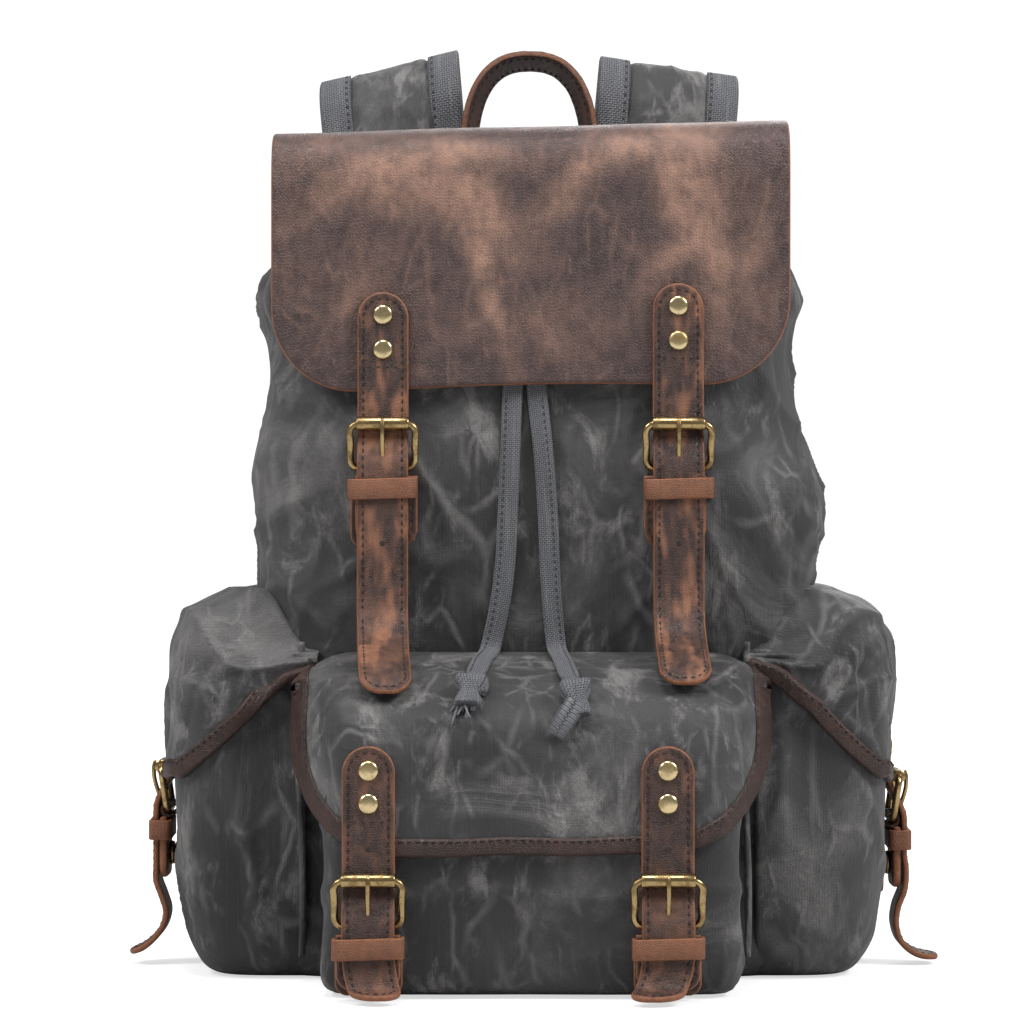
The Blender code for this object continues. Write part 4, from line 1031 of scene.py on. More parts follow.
def body_relief(around, height, x_share, y_share):
    """How far the canvas stands out: soft bulges, slanting drag folds, and gathers under the flap."""
    left, right = bump(x_share, -1, 0.45), bump(x_share, 1, 0.45)
    bulge = right * (0.0115 * bump(height, 0.237, 0.026) + 0.0055 * bump(height, 0.200, 0.03))
    bulge = bulge + left * (0.0035 * bump(height, 0.262, 0.018) + 0.0020 * bump(height, 0.215, 0.03))
    bulge = bulge + (left * 0.0066 + right * 0.0050) * bump(height, MOUTH - 0.061, 0.016)
    spots = np.stack(np.broadcast_arrays(around + 0.55 * height, height - 0.25 * around, 0.0), -1)
    slanted = ridges(spots * [1.0, 0.42, 1.0], 0.060, 21, 5.0)
    other = np.stack(np.broadcast_arrays(around - 0.5 * height, height + 0.3 * around, 0.0), -1)
    crossing = ridges(other * [1.0, 0.5, 1.0], 0.047, 33, 5.0)
    soft = noise(np.stack(np.broadcast_arrays(around, height, 0.0), -1), 0.075, 2)
    front = (y_share < -0.9) * 1.0
    calm = 1 - front * bump(x_share, 0.0, 0.30) * 0.85
    calm = calm * (1 - front * ease(0.185, 0.150, height) * 0.9)
    calm = calm * (1 - (y_share > 0.9) * 0.95)
    out = 0.0032 * slanted + 0.0024 * crossing + 0.0016 * soft
    return bulge + out * calm * ease(0.0, 0.05, height) + gather_relief(around, height)


class BACKPACK_OT_body(bpy.types.Operator):
    """Make the canvas body, its gathered hem and the seams down its front"""
    bl_idname = "backpack.body"
    bl_label = "Body"

    def execute(self, context):
        wall = sizes().canvas
        half = (HALF_WIDTH, HALF_DEPTH)
        sheets = bag_sheets(half, 0.0, 5.0, BODY_LEVELS, wall, body_relief, 420, 0.0022)
        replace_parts(surface("body_canvas", sheets, "canvas", "root"), "body_shell")
        self.hem(half)
        for side, x in (("left", -0.1126), ("right", 0.1053)):
            self.piping(side, x)
        return {"FINISHED"}

    def hem(self, half):
        """A rounded section carried round the mouth, swollen by the same gathers."""
        x_share, y_share, around = squared_oval(*half, 5.0, 420)
        section = slab_section(0.0026, 0.0052, 0.0022, 5)
        section = np.vstack([section, section[:1]])
        normal = unit(np.stack([np.sign(x_share) * np.abs(x_share) ** 4 / half[0],
                                np.sign(y_share) * np.abs(y_share) ** 4 / half[1]], -1))
        out = gather_relief(around, np.full(len(around), MOUTH)) * 0.7 + 0.0003
        out = out * (1 - 0.8 * bump(x_share, 0.0, 0.12) * (y_share < 0))
        x = x_share * (half[0] - 0.036) + normal[:, 0] * out
        y = 0.0135 + y_share * (half[1] - 0.0165) + normal[:, 1] * out
        reach = section[None, :, :1] - 0.0010
        grid = np.stack([x[:, None] + normal[:, :1] * reach[..., 0],
                         y[:, None] + normal[:, 1:] * reach[..., 0],
                         MOUTH + 0.0056 + np.broadcast_to(section[None, :, 1], (len(x), len(section)))], -1)
        flat = np.stack(np.broadcast_arrays(run_of(section)[None, :], around[:, None]), -1)
        piece = surface("mouth_hem", [(grid, flat, None)], "canvas", "root")
        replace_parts(piece, "drawstring_hem")

    def piping(self, side, x):
        """A thin roll of canvas up a seam of the front."""
        heights = np.linspace(0.012, 0.166, 60)
        line = np.stack([np.full(60, x) + 0.0012 * np.sin(heights * 40), np.full(60, BODY_FACE - 0.0022),
                         heights], -1)
        grid = wire(line, 0.0017, (0.0, 1.0, 0.0), 10)
        flat = np.stack(np.broadcast_arrays(np.linspace(0, 0.01, grid.shape[1])[None, :],
                                            np.linspace(0, 0.16, len(grid))[:, None]), -1)
        surface(f"front_piping_{side}", [(grid, flat, None)], "hood canvas", "root")


class BACKPACK_OT_inside(bpy.types.Operator):
    """Make the lining, the padded laptop sleeve, the base board and the back pad"""
    bl_idname = "backpack.inside"
    bl_label = "Inside and back"

    def execute(self, context):
        lining = [(h + 0.0025 if h < 0.01 else h, a, b, c) for h, a, b, c in BODY_LEVELS[:-1]]
        lining.append((MOUTH - 0.008, 0.0325, 0.0284, 0.003))
        sheets = bag_sheets((HALF_WIDTH - 0.0025, HALF_DEPTH - 0.0025), 0.0, 5.0, lining, 0.001, None, 160,
                            0.006,
                            0.0025)
        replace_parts(surface("lining", sheets, "lining", "root"), "body_lining")
        low, high = (np.array(corner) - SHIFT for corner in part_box("laptop_sleeve"))
        half = ((high[0] - low[0]) / 2, (high[1] - low[1]) / 2)
        levels = [(low[2], 0.002, 0.002, 0.002), (low[2] + 0.004, 0, 0, 0), (0.1, 0, 0, 0), (0.2, 0, 0, 0),
                  (high[2] - 0.01, 0, 0, 0), (high[2], 0.0006, 0.0006, 0.0006)]
        sheets = bag_sheets(half, (low[1] + high[1]) / 2, 9.0, levels, 0.003, None, 160, 0.006, low[2])
        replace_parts(surface("sleeve", sheets, "lining", "root"), "laptop_sleeve")
        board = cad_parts["base_board"]
        board.data.materials.clear()
        board.data.materials.append(finish_of("board"))
        self.back_pad()
        return {"FINISHED"}

    def back_pad(self):
        """A crowned pad with sewn channels: its thickness is a bell between channels, falling to its edge."""
        low, high = (np.array(corner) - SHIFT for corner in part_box("back_pad"))
        middle = (low[2] + high[2]) / 2
        route = Route([(0, high[1] - 0.0036, high[2] - 0.001), (0, high[1] - 0.0036, middle),
                       (0, high[1] - 0.0036, low[2] + 0.001)], lambda p: p)
        length = high[2] - low[2] - 0.002
        channels = [0.2, 0.4, 0.6, 0.8]

        def crown(rim, across, along):
            dip = sum(bump(along / length, share, 0.012) for share in channels)
            dip = dip + bump(np.abs(across), 0.045, 0.0035)
            return 0.0030 * ease(0.0, 0.022, rim) * (1 - 0.85 * np.clip(dip, 0, 1)) - 0.001 * ease(0.02, 0.0,
                    rim)

        sheets = leaf_sheets(route, high[0], 0.0070, (0.02, 0.02), 0.0030, 0.0025, 60, crown=crown)
        pad = surface("back_padding", sheets, "canvas", "root")
        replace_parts(pad, "back_pad")
        lines = [outline(high[0], length, (0.02, 0.02), 0.006, close=True)]
        stitch("back_padding_stitching", lambda x, t, lift: route.at(x, t, 0.0035 + lift - 0.0006), lines,
               "root",
               "grey thread")


# ---------------------------------------------------------------- pockets

class BACKPACK_OT_pockets(bpy.types.Operator):
    """Make the open front pocket and the two side pockets"""
    bl_idname = "backpack.pockets"
    bl_label = "Pockets"

    def execute(self, context):
        self.front()
        for side, sign in (("left", -1), ("right", 1)):
            self.beside(side, sign)
        return {"FINISHED"}

    def front(self):
        """A bag sewn to the front of the body, fuller low down, its lower corners puckered."""
        low, high = (np.array(corner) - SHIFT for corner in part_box("front_pocket"))
        half = ((high[0] - low[0]) / 2, (high[1] - low[1]) / 2)
        top = high[2]
        levels = [(0.0008, 0.007, 0.012, 0.002), (0.004, 0.003, 0.005, 0.001), (0.012, 0.0005, 0.001, 0.0),
                  (0.030, 0.0, 0.0, 0.0), (0.070, 0.0, 0.0, 0.0), (0.100, 0.0, 0.0, 0.0),
                  (top - 0.010, 0.003, 0.006, 0.0), (top, 0.007, 0.014, 0.0)]

        def relief(around, height, x_share, y_share):
            spots = np.stack(np.broadcast_arrays(around, height, 0.0), -1)
            pucker = ridges(spots * [1.0, 0.35, 1.0], 0.020, 12, 3.0) * bump(height, 0.006, 0.022)
            pucker = pucker * bump(np.abs(x_share), 0.95, 0.25)
            folds = ridges(spots * [0.7, 1.0, 1.0], 0.050, 27, 4.0)
            return (y_share < 0.8) * (0.0028 * pucker + 0.0020 * folds * ease(0.0, 0.03, height)
                                      + 0.0012 * noise(spots, 0.05, 6))

        sheets = bag_sheets(half, (low[1] + high[1]) / 2, 6.5, levels, sizes().canvas, relief, 300, 0.0022)
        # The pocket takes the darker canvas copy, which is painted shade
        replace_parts(surface("front_pocket_canvas", sheets, "pocket canvas", "root"), "front_pocket")

    def beside(self, side, sign):
        """A panel that bellies out from a seam on the front, round the side, to a seam at the back."""
        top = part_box("side_pocket_" + side)[1][2] - SHIFT[2]
        levels = [(0.0008, 0.48), (0.0006, 0.62), (0.002, 0.74), (0.008, 0.83), (0.022, 0.915),
                  (0.045, 0.975),
                  (0.075, 1.0), (0.100, 1.0), (0.125, 0.985), (top, 0.965)]
        profile = curve_through(levels, 0.0022)
        turn = np.radians(np.linspace(-90, 90, 4001))
        plan = side_plan(turn, 0.0)
        plan = evenly(plan, 0.0016)
        centre = np.array([0.11, -0.003])
        scaled = centre + (plan[None] - centre) * profile[:, 1][:, None, None]
        scaled[..., 0] = np.maximum(scaled[..., 0], 0.11)
        grid = np.concatenate([scaled, np.broadcast_to(profile[:, 0][:, None, None],
                                                       scaled.shape[:2] + (1,))], -1)
        run = run_of(plan)
        spots = np.stack(np.broadcast_arrays(run[None, :], profile[:, 0][:, None], float(sign)), -1)
        folds = 0.0030 * ridges(spots * [1.0, 0.5, 1.0], 0.045, 40 + sign, 4.0) + 0.0022 * noise(spots, 0.06,
                9)
        folds = folds * ease(0.0, 0.012, run)[None, :] * ease(0.0, 0.012, run[-1] - run)[None, :]
        folds = np.minimum(folds, 0.0022) * ease(0.0, 0.03, profile[:, 0])[:, None]
        away = unit(plan - centre)
        grid[..., :2] += away[None] * folds[..., None]
        grid[..., 0] *= sign
        piece = cloth(f"side_pocket_canvas_{side}", grid, sizes().canvas, "canvas", "root")
        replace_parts(piece, "side_pocket_" + side)


def side_plan(turn, out):
    """A side pocket seen from above: half a squared oval from the front of the body to its back."""
    x = 0.11 + (SIDE_FACE - 0.11 + out) * np.abs(np.cos(turn)) ** 0.4
    y = -0.003 + (0.0785 + out) * np.sign(np.sin(turn)) * np.abs(np.sin(turn)) ** 0.4
    return np.stack([x, y], -1)


# ---------------------------------------------------------------- flaps

class BACKPACK_OT_main_flap(bpy.types.Operator):
    """Make the leather flap over the mouth"""
    bl_idname = "backpack.main_flap"
    bl_label = "Main flap"

    def execute(self, context):
        low, high = (np.array(corner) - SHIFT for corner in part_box("main_flap"))
        half = high[0]
        top = high[2] - 0.0015
        front = -low[1] - 0.0015
        back = -0.0840
        path = [(0, back, top - 0.036), (0, back, top - 0.018), (0, back + 0.005, top - 0.006),
                (0, -0.060, top - 0.0010), (0, -0.020, top + 0.0012), (0, 0.030, top),
                (0, front - 0.020, top - 0.001),
                (0, front - 0.0062, top - 0.007), (0, front - 0.0006, top - 0.020), (0, front, top - 0.045),
                (0, front, top - 0.085), (0, front, low[2])]

        def relief(across, along):
            out = np.zeros(across.shape + (3,))
            lower = ease(0.20, 0.30, along)
            out[..., 2] = 0.020 * across * ease(0.02, 0.12, along) + 0.0012 * np.cos(across * 24) * lower
            out[..., 1] = 0.0006 * np.sin(across * 30 + 1.0) * lower
            spots = np.stack([across, along, np.zeros(across.shape)], -1)
            sag = noise(spots, 0.07, 4) * 0.0012 * (1 - ease(0.19, 0.23, along))
            out[..., 2] += sag * ease(0.05, 0.08, along)
            return out

        route = Route(path, front_seat(0, 0), relief)
        sheets = leaf_sheets(route, half, sizes().leather, (0.006, 0.042), 0.0014, 0.0022, 150)
        rub = np.concatenate([self.rubbing(flat, route.length).reshape(-1) for _, flat, _ in sheets])
        piece = surface("flap_leather", sheets, "flap leather", None, rub)
        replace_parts(piece, "main_flap")
        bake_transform(piece)
        return {"FINISHED"}

    def rubbing(self, flat, length):
        """Long soft streaks, each a bell across a slanting line, broken up by stretched noise."""
        x, t = flat[..., 0], length - flat[..., 1]
        streaks = ((-0.060, 0.104, 0.15, 0.052, 0.011, 0.80), (-0.034, 0.094, -0.75, 0.040, 0.010, 0.75),
                   (-0.022, 0.060, -1.35, 0.048, 0.008, 0.70), (0.020, 0.100, 0.9, 0.030, 0.009, 0.60),
                   (0.044, 0.112, 0.2, 0.026, 0.008, 0.65), (0.084, 0.090, -1.2, 0.052, 0.014, 0.80),
                   (0.072, 0.064, 0.9, 0.034, 0.010, 0.45), (-0.088, 0.050, 1.2, 0.030, 0.010, 0.25),
                   (0.100, 0.052, 1.3, 0.035, 0.012, 0.40), (0.004, 0.030, 0.1, 0.050, 0.012, 0.25),
                   (-0.100, 0.118, 0.1, 0.030, 0.008, 0.30), (0.095, 0.128, 0.1, 0.045, 0.007, 0.35))
        spots = np.stack([x, t, np.zeros(x.shape)], -1)
        bent = 0.016 * noise(spots, 0.05, 17)
        total = np.zeros(x.shape)
        for middle_x, middle_t, turn, reach, width, strength in streaks:
            along = (x - middle_x) * math.cos(turn) + (t - middle_t) * math.sin(turn)
            across = (t - middle_t) * math.cos(turn) - (x - middle_x) * math.sin(turn) + bent
            total = np.maximum(total, strength * bump(along, 0, reach) * bump(across, 0, width))
        grainy = 0.85 + 0.45 * noise(spots, 0.014, 23) + 0.25 * noise(spots, 0.004, 29)
        return np.clip(1.15 * total * grainy, 0, 1)


class BACKPACK_OT_pocket_flaps(bpy.types.Operator):
    """Make the canvas flaps of the front and side pockets with their leather bindings"""
    bl_idname = "backpack.pocket_flaps"
    bl_label = "Pocket flaps"

    def execute(self, context):
        self.front()
        for side, sign in (("left", -1), ("right", 1)):
            self.hood(side, sign)
        return {"FINISHED"}

    def front(self):
        """A bent sheet whose sides droop past the pocket, puckered where it is sewn on."""
        low, high = (np.array(corner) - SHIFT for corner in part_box("front_pocket_flap"))
        half = high[0] + 0.0018
        face = -POCKET_FACE + FLAP_LEVEL
        root = HALF_DEPTH + 0.0016
        top = high[2]
        path = [(0, root, top - 0.0005), (0, root + 0.024, top - 0.0055), (0, root + 0.048, top - 0.0135),
                (0, face - 0.008, top - 0.025), (0, face - 0.0015, top - 0.038), (0, face, top - 0.050),
                (0, face, low[2] - 0.0010)]

        def relief(across, along):
            out = np.zeros(across.shape + (3,))
            beyond = np.clip(np.abs(across) - 0.086, 0, None)
            out[..., 1] = -5.5 * beyond ** 1.6 * ease(0.02, 0.07, along) * 2.2
            out[..., 2] = 0.012 * across * ease(0.05, 0.12,
                                                along) - 16 * beyond ** 2 * (1 - ease(0.0, 0.08, along))
            spots = np.stack([across, along, np.zeros(across.shape)], -1)
            calm = 1 - 0.85 * bump(across, -0.0766, 0.02) - 0.85 * bump(across, 0.064, 0.02)
            calm = calm * (1 - 0.8 * bump(across, 0.0, 0.03) * (1 - ease(0.07, 0.10, along)))
            pucker = ridges(spots * [1.0, 0.35, 1.0], 0.022, 51, 3.0) * bump(along, 0.0, 0.035)
            folds = ridges(spots * [0.55, 1.0, 1.0], 0.042, 53, 4.0) * bump(along, 0.055, 0.05)
            edge = ease(0, 0.012, along)
            out[..., 2] += (0.0022 * pucker + 0.0024 * folds + 0.0010 * noise(spots, 0.04, 55)) * calm * edge
            return out

        route = Route(path, front_seat(0, 0), relief)
        corners = (0.012, 0.052)
        thick = 0.0024
        seam = (tuple(SHIFT + [0, -root, top]), tuple(SHIFT + [0, -root - 0.018, top - 0.005]))
        sheets = leaf_sheets(route, half, thick, corners, 0.0010, 0.0022, 130)
        piece = surface("front_flap_canvas", sheets, "hood canvas", None)
        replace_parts(piece, "front_pocket_flap")
        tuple(seam[0])
        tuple(seam[1])
        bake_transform(piece)
        wide = sizes().binding
        line = outline(half, route.length, corners, 0.0, start=0.004)
        section = binding_section(wide, thick / 2, 0.0013)
        piece = surface("front_flap_binding", band_sheets(route, line, section), "binding leather", None)
        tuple(seam[0])
        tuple(seam[1])
        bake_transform(piece)
        stitch_line = outline(half, route.length, corners, wide - 0.0014, start=0.006)
        lift = thick / 2 + 0.0013
        piece = stitch("front_flap_stitching", lambda x, t, up: route.at(x, t, up + lift - 0.0001),
                       [stitch_line],
                       None)
        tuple(seam[0])
        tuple(seam[1])
        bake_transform(piece)

    def hood(self, side, sign):
        """A hood over a side pocket: each rib leaves the body's seam, turns in a quarter circle and drops.

        Ribs follow one another round the pocket's plan. At the front and back the lower edge rises in a
        straight slant to meet the seam, which makes the ears.
        """
        fuller = 1.0 if side == "right" else 0.0
        turn = np.radians(np.linspace(-90, 90, 4001))
        plan = side_plan(turn, 0.0026)
        run = run_of(plan)
        stops = np.linspace(0, run[-1], 150)
        plan = np.stack([np.interp(stops, run, plan[:, k]) for k in range(2)], -1)
        angle = np.interp(stops, run, turn)
        cos = np.clip(np.cos(angle), 0, 1)
        corner = angle * 0.645
        seam = np.stack([(HALF_WIDTH - 0.0075) * np.cos(corner) ** 0.4,
                         (HALF_DEPTH + 0.0005) * np.sign(corner) * np.abs(np.sin(corner)) ** 0.4], -1)
        seam_top = 0.1600 + (0.0305 + 0.001 * fuller) * ease(0.0, 0.8, cos)
        end_reach = np.minimum(stops, stops[-1] - stops)
        lower = 0.1560 - 0.0590 * ease(-0.012, 0.078, end_reach)
        lower = np.minimum(lower, 0.1565 - 0.94 * end_reach)
        lower = np.maximum(lower, 0.0975)
        lower = lower + 0.0030 * bump(end_reach, 0.070, 0.014)
        first = np.stack([plan[:, 0] * 0 + 0.1040, plan[:, 1]], -1)
        start_blend = ease(0.0, 0.010, end_reach)[:, None]
        plan = plan * start_blend + first * (1 - start_blend)
        share = np.linspace(0, 1, 70)[:, None]
        bend = np.clip(share / 0.56, 0, 1)
        sideways = np.sin(bend * np.pi / 2) ** 0.92
        fall = 0.34 * (1 - np.cos(bend * np.pi / 2)) + 0.66 * np.clip(share - 0.56, 0, 1) / 0.44
        flat_place = seam[None] + (plan - seam)[None] * sideways[..., None]
        height = seam_top - (seam_top - lower) * fall
        grid = np.concatenate([flat_place, height[..., None]], -1)
        spots = np.stack(np.broadcast_arrays(stops[None, :], share * 0.12, float(sign)), -1)
        darts = sum(bump(end_reach[None, :] - 0.20 * share * 0.2, place, 0.0025) for place in (0.026, 0.050))
        edge = ease(0, 0.10, share) * ease(0, 0.012, end_reach)[None, :]
        calm = 1 - 0.9 * bump(grid[..., 1], 0.0, 0.022)
        folds = 0.0030 * ridges(spots * [0.6, 1.0, 1.0], 0.040, 61 + sign, 3.5) + 0.0012 * noise(spots,
                0.035, 63)
        away = unit(np.stack([plan[:, 0] - 0.11, plan[:, 1] + 0.003], -1))
        out = (folds * calm - 0.0011 * darts * ease(0.3, 0.5, share)) * edge
        grid[..., :2] += away[None] * out[..., None]
        grid[..., 2] += 0.5 * out
        grid[..., 0] *= sign
        body = "side_flap_" + side
        seat = (tuple(SHIFT + [sign * 0.1400, 0, 0.1880]), tuple(SHIFT + [sign * 0.1700, 0, 0.1500]))
        piece = cloth("side_flap_canvas_" + side, grid, 0.0024, "hood canvas", None)
        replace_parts(piece, body)
        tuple(seat[0])
        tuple(seat[1])
        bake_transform(piece)
        self.hood_binding(side, sign, grid, body, seat)

    def hood_binding(self, side, sign, grid, body, seat):
        """The leather strip over the hood's lower edge: a section carried along it, upwards being inwards."""
        line = grid[-1]
        step = unit(grid[-6] - line)
        along = unit(np.gradient(line, axis=0))
        normal = unit(np.cross(along, step)) * sign
        normal = normal * np.sign((normal * unit(line - np.array([sign * 0.11, -0.003,
                                                                  line[0, 2]]))).sum(-1).mean())
        step = unit(np.cross(normal, along)) * np.sign((np.cross(normal, along) * step).sum(-1,
                keepdims=True))
        wide = sizes().binding
        section = binding_section(wide, 0.0012, 0.0013)
        section = np.vstack([section, section[:1]])
        band = line[:, None] + step[:, None] * section[None, :, :1] + normal[:, None] * section[None, :, 1:]
        ends = [np.repeat(band[k].mean(0)[None, None], band.shape[1], axis=1) for k in (0, -1)]
        band = np.vstack([ends[0], band, ends[1]])
        run = np.concatenate([[0], run_of(line), [0]])
        flat = np.stack(np.broadcast_arrays(run_of(section)[None, :], run[:, None]), -1)
        piece = surface("side_flap_binding_" + side, [(band, flat, None)], "binding leather", None)
        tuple(seat[0])
        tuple(seat[1])
        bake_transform(piece)
        distance = run_of(line)

        def place(x, t, lift):
            base, inward, out = (np.stack([np.interp(t, distance, part[:, k]) for k in range(3)], -1)
                                 for part in (line, step, normal))
            return base + inward * x[..., None] + out * (lift + 0.0024)[..., None]

        stops = np.linspace(0.004, distance[-1] - 0.004, 100)
        seam = np.stack([np.full(100, wide - 0.0014), stops], -1)
        piece = stitch("side_flap_stitching_" + side, lambda x, t, up: place(x, t, up + x * 0), [seam], None)
        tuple(seat[0])
        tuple(seat[1])
        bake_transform(piece)


# ---------------------------------------------------------------- straps, tabs and buckles

def crossing(roller):
    """The strap's own slope behind the roller and out over the heel bar: an eased step outwards."""
    share = np.linspace(0, 1, 6)
    reach = BAR_DROP + 0.001
    rise = share * share * (3 - 2 * share)
    return [(0.0, STRAP_HIGH + (STRAP_LOW - STRAP_HIGH) * r, roller + 0.001 - reach * s) for s,
            r in zip(share, rise)]


def strap_set():
    """Each strap's place, side, seat, flap, top, roller height, tab end, snap height and lower course."""
    low = STRAP_LOW
    yield ("main", "left", front_seat(-0.0722, BODY_FACE), "main_flap", 0.3367, 0.2723, 0.2133, 0.226,
           [(0, low, 0.238), (0, low, 0.214), (0, low - 0.0005, 0.195), (0, low + 0.0015, 0.181),
            (0.0005, low + 0.0090, 0.1695), (0.0012, low + 0.0235, 0.1625), (0.0022, low + 0.0395, 0.1560),
            (0.0030, low + 0.0490, 0.1500), (0.0036, low + 0.0555, 0.1440)])
    yield ("main", "right", front_seat(0.0720, BODY_FACE), "main_flap", 0.3411, 0.2723, 0.2133, 0.226,
           [(0, low, 0.238), (0, low, 0.214), (0, low - 0.0005, 0.195), (0, low + 0.0015, 0.182),
            (0.0003, low + 0.0080, 0.1710), (0.0006, low + 0.0210, 0.1640), (0.0009, low + 0.0355, 0.1585),
            (0.0012, low + 0.0450, 0.1530), (0.0012, low + 0.0510, 0.1480)])
    yield ("pocket", "left", front_seat(-0.0766, POCKET_FACE), "front_pocket_flap", 0.1195, 0.0567, 0.005,
           0.016,
           [(0.0, low, 0.0240), (0.001, low, 0.014), (0.003, low + 0.003, 0.006),
            (0.005, low + 0.012, 0.0032)])
    yield ("pocket", "right", front_seat(0.0640, POCKET_FACE), "front_pocket_flap", 0.1195, 0.0567, 0.005,
           0.016,
           [(0.0, low, 0.0240), (-0.001, low, 0.014), (-0.004, low + 0.004, 0.006),
            (-0.008, low + 0.016, 0.0032)])
    yield ("side", "left", side_seat(-1), "side_flap_left", 0.1410, 0.1004, 0.0440, 0.0560,
           [(0.0, low, 0.062), (0.0, low, 0.050), (0.0, low, 0.0425), (0.0, low - 0.003, 0.034),
            (0.0, low - 0.005, 0.026), (0.0, low - 0.002, 0.017), (0.0, low + 0.006, 0.009),
            (0.0, low + 0.014, 0.0055)])
    yield ("side", "right", side_seat(1), "side_flap_right", 0.1361, 0.0953, 0.0389, 0.0509,
           [(0.0, low, 0.057), (0.0, low + 0.001, 0.048), (0.0, low + 0.0003, 0.038),
            (0.0, low - 0.003, 0.029),
            (0.0, low - 0.004, 0.020), (0.0, low - 0.001, 0.011), (0.0, low + 0.007, 0.005),
            (0.0, low + 0.018, 0.0032)])


RIVET_DROPS = {"main": (0.0110, 0.0280), "pocket": (0.0115, 0.0270), "side": (0.0110, 0.0265)}
SPARE_HOLES = {"main": -0.0580, "pocket": 0.0145, "side": -0.040}


def rub_along(flat, seed, strength):
    """Rubbed leather on a strap: stretched noise."""
    spots = np.stack([flat[..., 0], flat[..., 1] * 0.3, np.full(flat.shape[:-1], seed * 0.1)], -1)
    field = noise(spots, 0.0085, seed) + 0.5 * noise(spots, 0.003, seed + 1)
    return np.clip(strength * ease(-0.05, 0.75, field), 0, 1).reshape(-1)


class BACKPACK_OT_straps(bpy.types.Operator):
    """Make the six leather straps with their stitching, rivets, and dark discs of painted shade at each
    punched hole
    """
    bl_idname = "backpack.straps"
    bl_label = "Straps and rivets"

    def execute(self, context):
        for number, (place, side, seat, flap, top, roller, tab_end, snap, tail) in enumerate(strap_set()):
            name = f"{place}_strap_{side}"
            shell = [(0.0, STRAP_HIGH, top), (0.0, STRAP_HIGH, (top + roller) / 2)]
            route = Route(shell + crossing(roller) + tail, seat)
            self.strap(name, place, route, flap, roller, number)
        return {"FINISHED"}

    def strap(self, name, place, route, flap, roller, number):
        """A leaf of leather with a half-round top and a rounded tip, grooved where it is sewn."""
        thick = sizes().leather
        corners = (STRAP_HALF, 0.0105)
        sheets = leaf_sheets(route, STRAP_HALF, thick, corners, 0.0012, 0.0016, 14, 0.00035, 0.0030)
        strength = 0.85 if place == "main" else 0.45
        lift = thick / 2
        lines = [outline(STRAP_HALF, route.length, corners, 0.0030, 0.001, close=True)]
        cross = RIVET_DROPS[place][1] + 0.0085
        lines.append(np.stack([np.linspace(-0.0085, 0.0085, 12), np.full(12, cross)], -1))
        pieces = []
        if place == "main":
            first, second = cut_sheets(sheets, route.length - 0.066)
            pieces.append((name + "_leather", first, lambda line: line[line[:, 1] < route.length - 0.067]))
            pieces.append((name + "_tip", second, lambda line: line[line[:, 1] > route.length - 0.065]))
        else:
            pieces.append((name + "_leather", sheets, lambda line: line))
        for piece_name, parts, kept in pieces:
            rub = np.concatenate([rub_along(flat, 70 + number, strength) for _, flat, _ in parts])
            piece = surface(piece_name, parts, "leather", flap, rub)
            if piece_name.endswith("_leather"):
                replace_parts(piece, name)
            threads = self.sewing(piece_name + "_stitching", route, lines, kept, lift, flap)
            if piece_name.endswith("_tip"):
                for item in (piece, threads):
                    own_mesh(item)
        self.rivets(name, place, route, flap, lift)
        self.holes(name, place, route, flap, roller, lift)

    def sewing(self, name, route, lines, kept, lift, flap):
        grids = []
        for line in lines:
            grid = thread_grids(lambda x, t, up: route.at(x, t, up + lift - 0.0002), line, sizes().stitch)
            run = run_of(line)
            middles = (np.arange(len(grid)) + 0.5) * run[-1] / len(grid)
            spots = np.stack([np.interp(middles, run, line[:, k]) for k in range(2)], -1)
            marks = np.isin(spots[:, 1], kept(spots)[:, 1])
            if marks.any():
                grids.append((grid[marks], None, None))
        return surface(name, grids, "thread", flap)

    def rivets(self, name, place, route, flap, lift):
        """Flat-domed brass heads: a turned profile with a rolled rim."""
        radius = sizes().rivet / 2
        profile = [(0, 0.0017), (radius * 0.5, 0.00163), (radius * 0.76, 0.00140), (radius * 0.92, 0.00095),
                   (radius, 0.0003), (radius, -0.0006), (0, -0.0006)]
        sheets = []
        for drop in RIVET_DROPS[place]:
            zero = np.zeros(1)
            base = route.at(zero, zero + drop, zero + lift)[0]
            axis = route.at(zero, zero + drop, zero + lift + 0.001)[0] - base
            sheets.append((turned(profile, base, axis), None, None))
        surface(name.replace("strap", "rivets"), sheets, "rivet brass", flap)

    def holes(self, name, place, route, flap, roller, lift):
        """Painted shade for each punched hole: a low dark disc, turned about the strap's normal on its outer
        face, stands in for the shade inside the hole.
        """
        profile = [(0, 0.00012), (0.0009, 0.00014), (0.0013, 0.00010), (0.0015, -0.0002), (0, -0.0006)]
        spots = [np.interp(-level, -route.line[:, 2], route.run) for level in
                 (roller - 0.009, roller + SPARE_HOLES[place])]
        sheets = []
        for spot in spots:
            zero = np.zeros(1)
            base = route.at(zero, zero + spot, zero + lift)[0]
            axis = route.at(zero, zero + spot, zero + lift + 0.001)[0] - base
            sheets.append((turned(profile, base, axis, 16), None, None))
        # The discs take the dark thread finish as painted shade of the hole
        surface(name.replace("strap", "holes"), sheets, "thread", flap)


